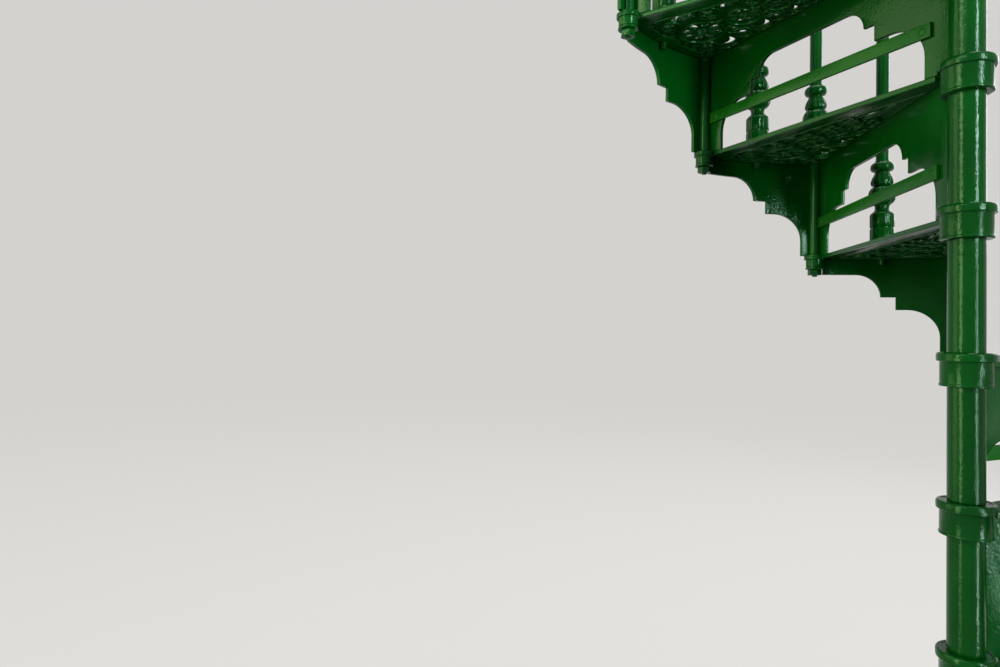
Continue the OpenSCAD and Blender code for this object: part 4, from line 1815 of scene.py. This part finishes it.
@dataclass(frozen=True)
class Lamp:
    """A soft rectangular lamp: its place and size in metres, its power in watts, and what it spares."""

    name: str
    place: Triple
    size: Point
    power: float
    colour: Triple
    target: Triple = (0, 0, 1.6)
    spares_floor: bool = False
    gloss_only: bool = False

    def build(self, floor: bpy.types.Object) -> None:
        """Adds the lamp to the scene.

        Args:
            floor: The floor, which a lamp that spares it doesn't light.
        """
        data = bpy.data.lights.new(self.name, "AREA")
        data.shape = "RECTANGLE"
        data.size = self.size[0]
        data.size_y = self.size[1]
        data.energy = self.power
        data.color = self.colour
        lamp = bpy.data.objects.new(self.name, data)
        bpy.context.collection.objects.link(lamp)
        lamp.location = self.place
        facing = Vector(self.target) - Vector(self.place)
        lamp.rotation_euler = facing.to_track_quat("-Z", "Y").to_euler()
        lamp.visible_diffuse = not self.gloss_only
        if self.spares_floor:
            kept_off = bpy.data.collections.new(f"{self.name}_kept_off")
            kept_off.objects.link(floor)
            kept_off.collection_objects[0].light_linking.link_state = "EXCLUDE"
            lamp.light_linking.receiver_collection = kept_off


@dataclass
class Studio:
    """A plain pale floor and background, and soft light. Two strips on the floor show in gloss alone."""

    floor_size: float = 400.0
    pale: Triple = (0.655, 0.645, 0.625)
    shade: Triple = (0.62, 0.61, 0.59)
    rough: float = 0.9
    fill: float = 0.08
    glow: Triple = (1.0, 0.985, 0.955)
    glow_share: float = 0.62
    lamps: tuple[Lamp, ...] = (
        Lamp("window_lamp", (2.2, -3.7, 2.0), (0.42, 3.9), 360, (1.0, 0.94, 1.0), spares_floor=True),
        Lamp("warm_lamp", (-4.3, 0.7, 2.0), (2.2, 3.9), 80, (1.0, 0.97, 0.50), spares_floor=True),
        Lamp("edge_lamp", (-4.05, -1.95, 2.0), (1.0, 3.9), 155, (1.0, 0.97, 0.50), spares_floor=True),
        Lamp("floor_lamp", (1.96, -2.336, 0.02), (0.22, 3.0), 105, (1.0, 0.98, 0.96),
             (1.947, -2.321, 1.0), True, True),
        Lamp("low_warm_lamp", (-2.74, -1.32, 0.02), (0.45, 3.0), 36, (1.0, 0.97, 0.50),
             (-2.722, -1.311, 1.0), True, True),
        Lamp("front_lamp", (-3.2, -3.0, 4.4), (1.8, 1.4), 50, (1.0, 0.98, 0.92)),
        Lamp("back_lamp", (3.8, 3.2, 3.2), (2.5, 2.5), 55, (0.92, 0.97, 1.0)),
        Lamp("top_lamp", (0.4, 0.4, 6.4), (3.0, 3.0), 190, (1.0, 0.99, 0.97)),
    )

    def build(self) -> None:
        """Builds the floor, the world and the lamps."""
        scene = bpy.context.scene
        scene.view_settings.view_transform = "Standard"
        bpy.ops.mesh.primitive_plane_add(size=self.floor_size)
        floor = bpy.context.view_layer.objects.active
        floor.name = "studio_floor"
        floor.data.materials.append(self.floor_material())
        self.world(scene)
        for lamp in self.lamps:
            lamp.build(floor)

    def floor_material(self) -> bpy.types.Material:
        """A pale floor that the camera sees as bright as the background, with soft shadows.

        Returns:
            The floor's material.
        """
        material = bpy.data.materials.new("pale_floor")
        material.use_nodes = True
        tree = material.node_tree
        shader = tree.nodes["Principled BSDF"]
        shader.inputs["Base Color"].default_value = (*self.shade, 1)
        shader.inputs["Roughness"].default_value = self.rough
        glow = tree.nodes.new("ShaderNodeEmission")
        glow.inputs["Color"].default_value = (*self.glow, 1)
        share = tree.nodes.new("ShaderNodeMath")
        share.operation = "MULTIPLY"
        share.inputs[1].default_value = self.glow_share
        tree.links.new(self.sight(tree), share.inputs[0])
        mixer = tree.nodes.new("ShaderNodeMixShader")
        tree.links.new(share.outputs["Value"], mixer.inputs["Fac"])
        tree.links.new(shader.outputs["BSDF"], mixer.inputs[1])
        tree.links.new(glow.outputs["Emission"], mixer.inputs[2])
        tree.links.new(mixer.outputs["Shader"], tree.nodes["Material Output"].inputs["Surface"])
        return material

    def world(self, scene: bpy.types.Scene) -> None:
        """Shows the camera a pale background, and lights the stair with a dimmer one.

        Args:
            scene: The scene that gets the world.
        """
        world = bpy.data.worlds.new("studio_world")
        scene.world = world
        world.use_nodes = True
        tree = world.node_tree
        pale = tree.nodes["Background"]
        pale.inputs["Color"].default_value = (*self.pale, 1)
        strength = tree.nodes.new("ShaderNodeMath")
        strength.operation = "MAXIMUM"
        strength.inputs[1].default_value = self.fill
        tree.links.new(self.sight(tree), strength.inputs[0])
        tree.links.new(strength.outputs["Value"], pale.inputs["Strength"])

    def sight(self, tree: bpy.types.NodeTree) -> bpy.types.NodeSocket:
        """One for a ray from the camera, in gloss or through glass, and nought for a ray of soft light.

        Args:
            tree: Node tree that asks about a ray.

        Returns:
            The answer's socket.
        """
        path = tree.nodes.new("ShaderNodeLightPath")
        seen = path.outputs["Is Camera Ray"]
        for kind in ("Is Glossy Ray", "Is Transmission Ray"):
            either = tree.nodes.new("ShaderNodeMath")
            either.operation = "MAXIMUM"
            tree.links.new(seen, either.inputs[0])
            tree.links.new(path.outputs[kind], either.inputs[1])
            seen = either.outputs["Value"]
        return seen


def corners(box: Iterable[Sequence[float]]) -> list[list[float]]:
    return [[float(value) for value in corner] for corner in box]


def main() -> None:
    """Builds the stair class by class and reports each piece."""
    logging.basicConfig(level=logging.INFO, format="%(name)s %(message)s")
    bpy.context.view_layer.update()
    PhotoCamera().build()
    Studio().build()
    plan = StairPlan.from_solids()
    paints = Paints()
    paints.dress_solids()
    Column(plan).build(paints)
    Treads(plan).build(paints)
    Risers(plan).build(paints)
    Brackets(plan).build(paints)
    Fixings(plan).build(paints)
    Balusters(plan).build(paints)
    HandRails(plan).build(paints)


if __name__ == "__main__":
    main()
